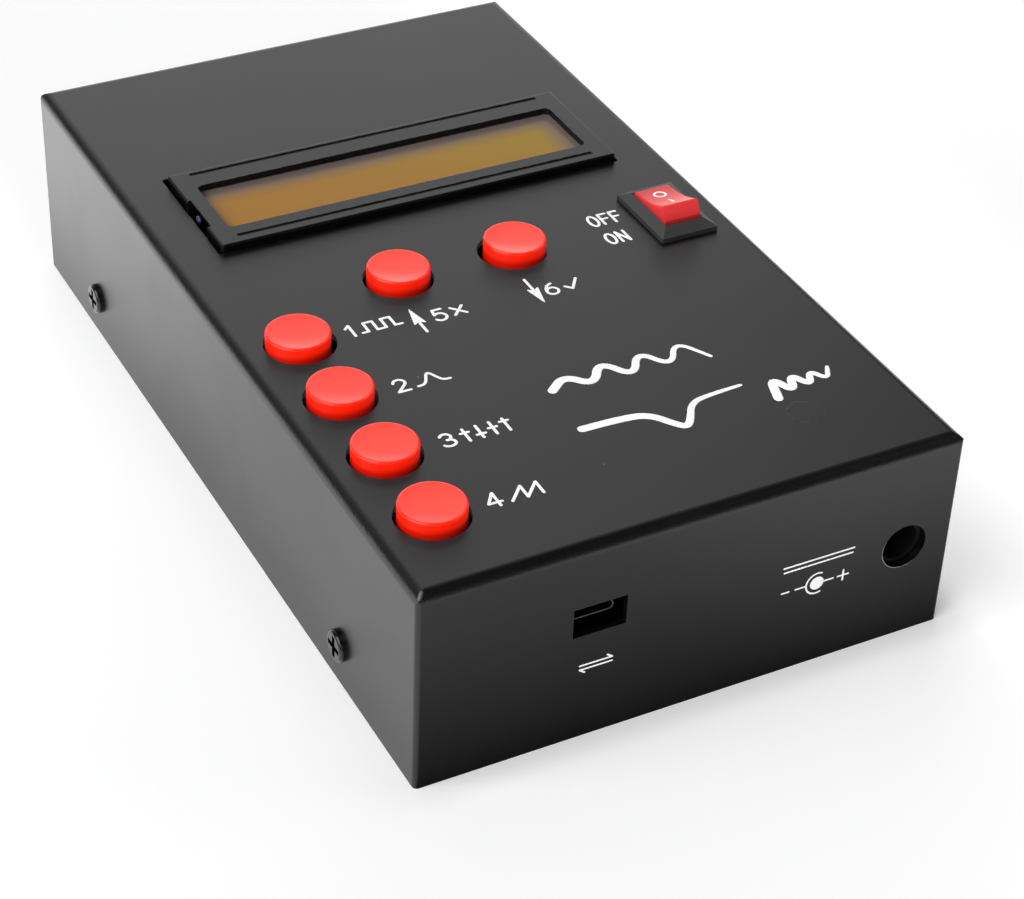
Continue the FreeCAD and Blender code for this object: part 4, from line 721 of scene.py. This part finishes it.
def makeDarkBead():
    mesh = bmesh.new()
    bmesh.ops.create_uvsphere(mesh, u_segments=24, v_segments=12, radius=mm)
    bmesh.ops.scale(mesh, verts=mesh.verts, vec=touches["beadRadii"])
    bmesh.ops.translate(mesh, verts=mesh.verts, vec=inMetres(touches["bead"]))
    return keepMesh(mesh, "glass_dark_bead")


addPiece("weld_mark", makeWeldMark(), materials["black_coat"])
addPiece("glass_dark_bead", makeDarkBead(), makeFinish("darkBlueBead", touches["beadFinish"]))
for face in bpy.data.objects["weld_mark"].data.polygons:
    face.use_smooth = False

# Grey strokes with a painted glow: painted highlights on the power hole's rim and the data socket's mouth.
rimHighlights = {"pen": 0.11, "grey": (0.32, 0.32, 0.32), "roughness": 0.4, "glow": 0.1,
             "powerRadius": 3.78, "powerArc": (150, 300), "endShare": 0.08,
             "mouth": ((-7.55, 0.15), (-0.8, 0.15), (-0.4, 0.28), (-0.17, 0.65), (-0.2, 1.2), (-0.75, 1.95),
                       (-0.87, 2.6))}


def thinEnds(t):
    ends = rimHighlights["endShare"]
    return math.sin(math.pi * (ends + (1 - 2 * ends) * t))


def makeHoleHighlight():  # painted highlight on the power hole's rim: a glowing grey stroke where the coat is thin and the cut metal shows
    jack = next(mount for mount in frame["record"]["mounts"] if mount["name"] == "dc_pin")
    x, _, z = (c / mm for c in jack["pos_m"])
    rim = arc((x, z), (rimHighlights["powerRadius"],) * 2, *rimHighlights["powerArc"], steps=24)
    return onFront(drawStrokes("power_hole_rim", [rim], rimHighlights["pen"], thinEnds))


def makeMouthHighlight():  # painted highlight along the data socket's rolled mouth, where its drawn shell catches light
    low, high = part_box("usb_shell")
    mouth = [(high.x / mm + x, low.z / mm + z) for x, z in rimHighlights["mouth"]]
    return standing(drawStrokes("data_socket_rim", [mouth], rimHighlights["pen"]), low.y)


rimHighlightInk = makeInk("rimHighlightEdge", rimHighlights["grey"], rimHighlights["roughness"], rimHighlights["glow"])
addPiece("power_hole_rim", makeHoleHighlight(), rimHighlightInk)
addPiece("data_socket_rim", makeMouthHighlight(), rimHighlightInk)
print("small touches added")


# Threaded aerial socket: the turned shell with its screw thread cut into the barrel.
thread = {"pitch": 1.058, "depth": 0.52, "flangeThickness": 1.6, "relief": 1.2, "stepsPerTurn": 40,
          "barrelRadius": 7.94, "clearance": 0.3, "grooveHalf": 0.62, "runOut": 1.5, "mergeWithin": 0.001,
          "sharpAngle": 25}


def copyOfNode(name):
    mesh = bmesh.new()
    mesh.from_mesh(nodes[name].data)
    bmesh.ops.remove_doubles(mesh, verts=mesh.verts, dist=thread["mergeWithin"] * mm)
    return keepMesh(mesh, name + "Copy")


def threadCutter(axisPlace, start, end):
    radius, pitch, depth = inMetres((thread["barrelRadius"], thread["pitch"], thread["depth"]))
    turns = (end - start) / pitch
    steps = int(turns * thread["stepsPerTurn"])
    mesh = bmesh.new()
    outside = radius + thread["clearance"] * mm
    half = pitch * thread["grooveHalf"]
    corners = [(radius - depth, 0.0), (outside, -half), (outside, half)]
    verts = [mesh.verts.new((axisPlace.x + r, start + along, axisPlace.z)) for r, along in corners]
    face = mesh.faces.new(verts)
    bmesh.ops.spin(mesh, geom=[face, *face.edges, *face.verts], cent=axisPlace, axis=(0, 1, 0),
                   dvec=(0, (end - start) / steps, 0), angle=math.tau * turns, steps=steps,
                   use_merge=False, use_duplicate=False)
    bmesh.ops.recalc_face_normals(mesh, faces=mesh.faces)
    return keepMesh(mesh, "threadCutter")


def makeAerialSocket():
    low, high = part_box("aerial_socket_shell")
    axisPlace = Vector(((low.x + high.x) / 2, 0, (low.z + high.z) / 2))
    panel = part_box("top_cover")[1].y
    start = panel + (thread["flangeThickness"] + thread["relief"]) * mm
    end = high.y + thread["runOut"] * mm
    cutter = bpy.data.objects.new("threadCutter", threadCutter(axisPlace, start, end))
    shell = bpy.data.objects.new("aerial_shell_threaded", copyOfNode("aerial_socket_shell"))
    scene.collection.objects.link(cutter)
    scene.collection.objects.link(shell)
    cut = shell.modifiers.new("thread", "BOOLEAN")
    cut.operation, cut.solver, cut.object = "DIFFERENCE", "EXACT", cutter
    finished = bpy.data.meshes.new_from_object(shell.evaluated_get(bpy.context.evaluated_depsgraph_get()))
    shell.modifiers.clear()
    shell.data = finished
    bpy.data.objects.remove(cutter)
    finished.materials.clear()
    finished.materials.append(materials["nickel"])
    for face in finished.polygons:
        face.use_smooth = True
        face.material_index = 0
    finished.set_sharp_from_angle(angle=math.radians(thread["sharpAngle"]))
    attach(shell, "case")
    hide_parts("aerial_socket_shell")


makeAerialSocket()
print("aerial socket threaded")


# Studio: a wide pale floor, and soft boxes painted on the world around it. The floor's fades are in metres
# from a side of the case, except depthFade and acrossFade, which are from its middle. drop is in millimetres.
floorLook = {"halfSize": 4.0, "colour": (0.86, 0.86, 0.87, 1), "shade": (0.8, 0.8, 0.81, 1), "drop": 0.03,
             "roughness": 0.9, "specular": 0.1, "mottlePerMetre": 3.0, "mottleFade": (0.3, 0.7)}
floorGlow = {"front": 0.3, "rear": 0.42, "slant": 0.5, "depthFade": (-0.12, 0.08),
             "foot": 0.74, "ahead": 1.12, "footFade": (0.0005, 0.006), "footLeft": (-0.012, 0.008),
             "footRight": (0.04, 0.0), "footFar": (0.2, 0.05), "rightLift": 0.36, "liftNear": (0.0, 0.008),
             "liftFar": (0.09, 0.012), "liftFront": (0.03, -0.03), "liftRear": (0.07, -0.03)}
floorMirror = {"rear": 2.45, "middle": 1.32, "rearReach": 0.046, "foot": 0.68, "footReach": 0.014,
               "near": 0.1, "perMetre": 22.0, "most": 1.15, "across": (0.9, 1.3), "acrossFade": (0.0, 0.045)}


def past(place, offsets):
    return [place + offset for offset in offsets]


def glowOfFloor(tree, x, y, low, high):  # painted light and shade: brighter behind the case and to its right, darker at its foot as a painted shadow
    fromFront = maths(tree, "SUBTRACT", low.y, y)
    fromRight = maths(tree, "SUBTRACT", x, high.x)
    depth = maths(tree, "SUBTRACT", y, product(tree, x, floorGlow["slant"]))
    glow = remap(tree, depth, *floorGlow["depthFade"], floorGlow["front"], floorGlow["rear"])
    contact = remap(tree, fromFront, *floorGlow["footFade"], floorGlow["foot"], floorGlow["ahead"])
    along = product(tree, remap(tree, x, *past(low.x, floorGlow["footLeft"])),
                    remap(tree, fromRight, *floorGlow["footRight"]),
                    remap(tree, fromFront, *floorGlow["footFar"]))
    glow = product(tree, glow, mixNumber(tree, along, 1.0, contact))
    lift = product(tree, remap(tree, fromRight, *floorGlow["liftNear"]),
                   remap(tree, fromRight, *floorGlow["liftFar"]),
                   remap(tree, fromFront, *floorGlow["liftFront"]),
                   remap(tree, y, *past(high.y, floorGlow["liftRear"])))
    return maths(tree, "ADD", glow, product(tree, lift, floorGlow["rightLift"]))


def mirrorOfFloor(tree, x, y, low, high):  # painted reflection: what the case's glossy sides see of the floor
    fromFront = maths(tree, "SUBTRACT", low.y, y)
    beside = remap(tree, y, 0.0, high.y + floorMirror["rearReach"],
                   floorMirror["middle"], floorMirror["rear"])
    fromSide = maths(tree, "SUBTRACT", maths(tree, "ABSOLUTE", x), high.x)
    foot = remap(tree, fromSide, 0.0, floorMirror["footReach"], floorMirror["foot"], 1.0)
    beside = product(tree, beside, foot)
    rising = maths(tree, "ADD", product(tree, fromFront, floorMirror["perMetre"]), floorMirror["near"])
    across = remap(tree, x, *floorMirror["acrossFade"], *floorMirror["across"])
    ahead = product(tree, across, maths(tree, "MINIMUM", rising, floorMirror["most"]))
    inFront = product(tree, maths(tree, "GREATER_THAN", fromFront, 0.0),
                      maths(tree, "GREATER_THAN", x, low.x))
    return mixNumber(tree, inFront, beside, ahead)


def makeFloor():
    mesh = bmesh.new()
    bmesh.ops.create_grid(mesh, x_segments=8, y_segments=8, size=floorLook["halfSize"])
    bmesh.ops.translate(mesh, verts=mesh.verts, vec=(0, 0, -floorLook["drop"] * mm))
    made = keepMesh(mesh, "studioFloor")
    material, tree, shader = newMaterial("paleFloor")
    place = objectPlace(tree)
    mottle = addNode(tree, "TexNoise", {"Vector": place, "Scale": floorLook["mottlePerMetre"], "Detail": 3.0})
    paint = blendColour(tree, remap(tree, mottle.outputs["Fac"], *floorLook["mottleFade"]),
                        floorLook["shade"], floorLook["colour"])
    axes = addNode(tree, "SeparateXYZ", {"Vector": place}).outputs
    caseLow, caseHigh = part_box("top_cover")
    glow = glowOfFloor(tree, axes["X"], axes["Y"], caseLow, caseHigh)
    mirrored = mirrorOfFloor(tree, axes["X"], axes["Y"], caseLow, caseHigh)
    # Reflections see only the painted reflection; other rays see the painted glow and the lit floor.
    reflected = addNode(tree, "LightPath", {}).outputs["Is Glossy Ray"]
    fillInputs(tree, shader, {
        "Base Color": blendColour(tree, reflected, paint, (0, 0, 0, 1)), "Roughness": floorLook["roughness"],
        "Specular IOR Level": floorLook["specular"], "Emission Color": (1, 1, 1, 1),
        "Emission Strength": mixNumber(tree, reflected, glow, mirrored)})
    floor = bpy.data.objects.new("studio_floor", made)
    scene.collection.objects.link(floor)
    made.materials.append(material)


# heading is the compass angle from +Y towards +X and rise the height above the horizon, in degrees.
softBoxes = {
    "rearLow": {"heading": 15, "rise": 14, "halfWidth": 25, "halfRise": 8, "edge": 6, "glow": 2.1},
    "rearMiddle": {"heading": 15, "rise": 28, "halfWidth": 25, "halfRise": 8, "edge": 6, "glow": 0.7},
    "rearHigh": {"heading": 15, "rise": 42, "halfWidth": 25, "halfRise": 8, "edge": 6, "glow": 1.0},
    "overhead": {"heading": 20, "rise": 58, "halfWidth": 35, "halfRise": 9, "edge": 7, "glow": 0.8},
    "rearLeft": {"heading": -25, "rise": 32, "halfWidth": 14, "halfRise": 12, "edge": 6, "glow": 0.35},
    "left": {"heading": -98, "rise": 42, "halfWidth": 32, "halfRise": 24, "edge": 10, "glow": 4.2},
    "right": {"heading": 98, "rise": 28, "halfWidth": 28, "halfRise": 15, "edge": 8, "glow": 0.9},
    "behind": {"heading": 200, "rise": 22, "halfWidth": 28, "halfRise": 12, "edge": 8, "glow": 0.9},
}
room = {"dim": 0.015, "backdrop": 0.98, "lightMapSize": 512}


def makeSoftBox():
    group, inputs, end = newGroup("softBox", {"heading": 0.0, "rise": 0.0, "halfWidth": 20.0,
                                              "halfRise": 20.0, "edge": 5.0, "glow": 1.0}, ["Glow"])
    direction = addNode(group, "TexCoord", {}).outputs["Generated"]
    axes = addNode(group, "SeparateXYZ", {"Vector": direction}).outputs
    turn = maths(group, "DEGREES", maths(group, "ARCTAN2", axes["X"], axes["Y"]))
    climb = maths(group, "DEGREES", maths(group, "ARCSINE", axes["Z"]))
    turned = maths(group, "SUBTRACT", turn, inputs["heading"])
    aside = maths(group, "ABSOLUTE", maths(group, "WRAP", turned, 180.0, -180.0))
    above = maths(group, "ABSOLUTE", maths(group, "SUBTRACT", climb, inputs["rise"]))
    masks = []
    for distance, half in ((aside, inputs["halfWidth"]), (above, inputs["halfRise"])):
        outer = maths(group, "ADD", half, inputs["edge"])
        inner = maths(group, "SUBTRACT", half, inputs["edge"])
        masks.append(remap(group, distance, outer, inner))
    fillInputs(group, end, {"Glow": product(group, *masks, inputs["glow"])})
    return group


def makeWorld():
    world = bpy.data.worlds.new("studioWorld")
    world.use_nodes = True
    scene.world = world
    tree = world.node_tree
    softBox = makeSoftBox()
    total = room["dim"]
    for box in softBoxes.values():
        glow = addGroup(tree, softBox, box)["Glow"]
        total = maths(tree, "ADD", total, glow)
    seen = addNode(tree, "LightPath", {}).outputs["Is Camera Ray"]
    strength = mixNumber(tree, seen, total, room["backdrop"])
    background = tree.nodes["Background"]
    background.inputs["Color"].default_value = (1, 1, 1, 1)
    tree.links.new(strength, background.inputs["Strength"])
    world.cycles.sampling_method = "MANUAL"
    world.cycles.sample_map_resolution = room["lightMapSize"]


makeFloor()
makeWorld()

camera = {"place": (-0.16439, -0.31852, 0.26040), "aim": (-0.01722, -0.05008, 0.03423), "roll": 2.455,
          "lens": 94.23, "sensorWidth": 36, "clip": (0.01, 20)}


def makeCamera():
    lens = bpy.data.cameras.new("studioCamera")
    lens.lens = camera["lens"]
    lens.sensor_width = camera["sensorWidth"]
    lens.clip_start, lens.clip_end = camera["clip"]
    stand = bpy.data.objects.new("studioCamera", lens)
    scene.collection.objects.link(stand)
    stand.location = camera["place"]
    look = (Vector(camera["aim"]) - Vector(camera["place"])).to_track_quat("-Z", "Y")
    stand.rotation_mode = "QUATERNION"
    stand.rotation_quaternion = look @ Quaternion((0, 0, 1), math.radians(camera["roll"]))
    scene.camera = stand


makeCamera()
scene.view_settings.view_transform = "Standard"
print("studio set")
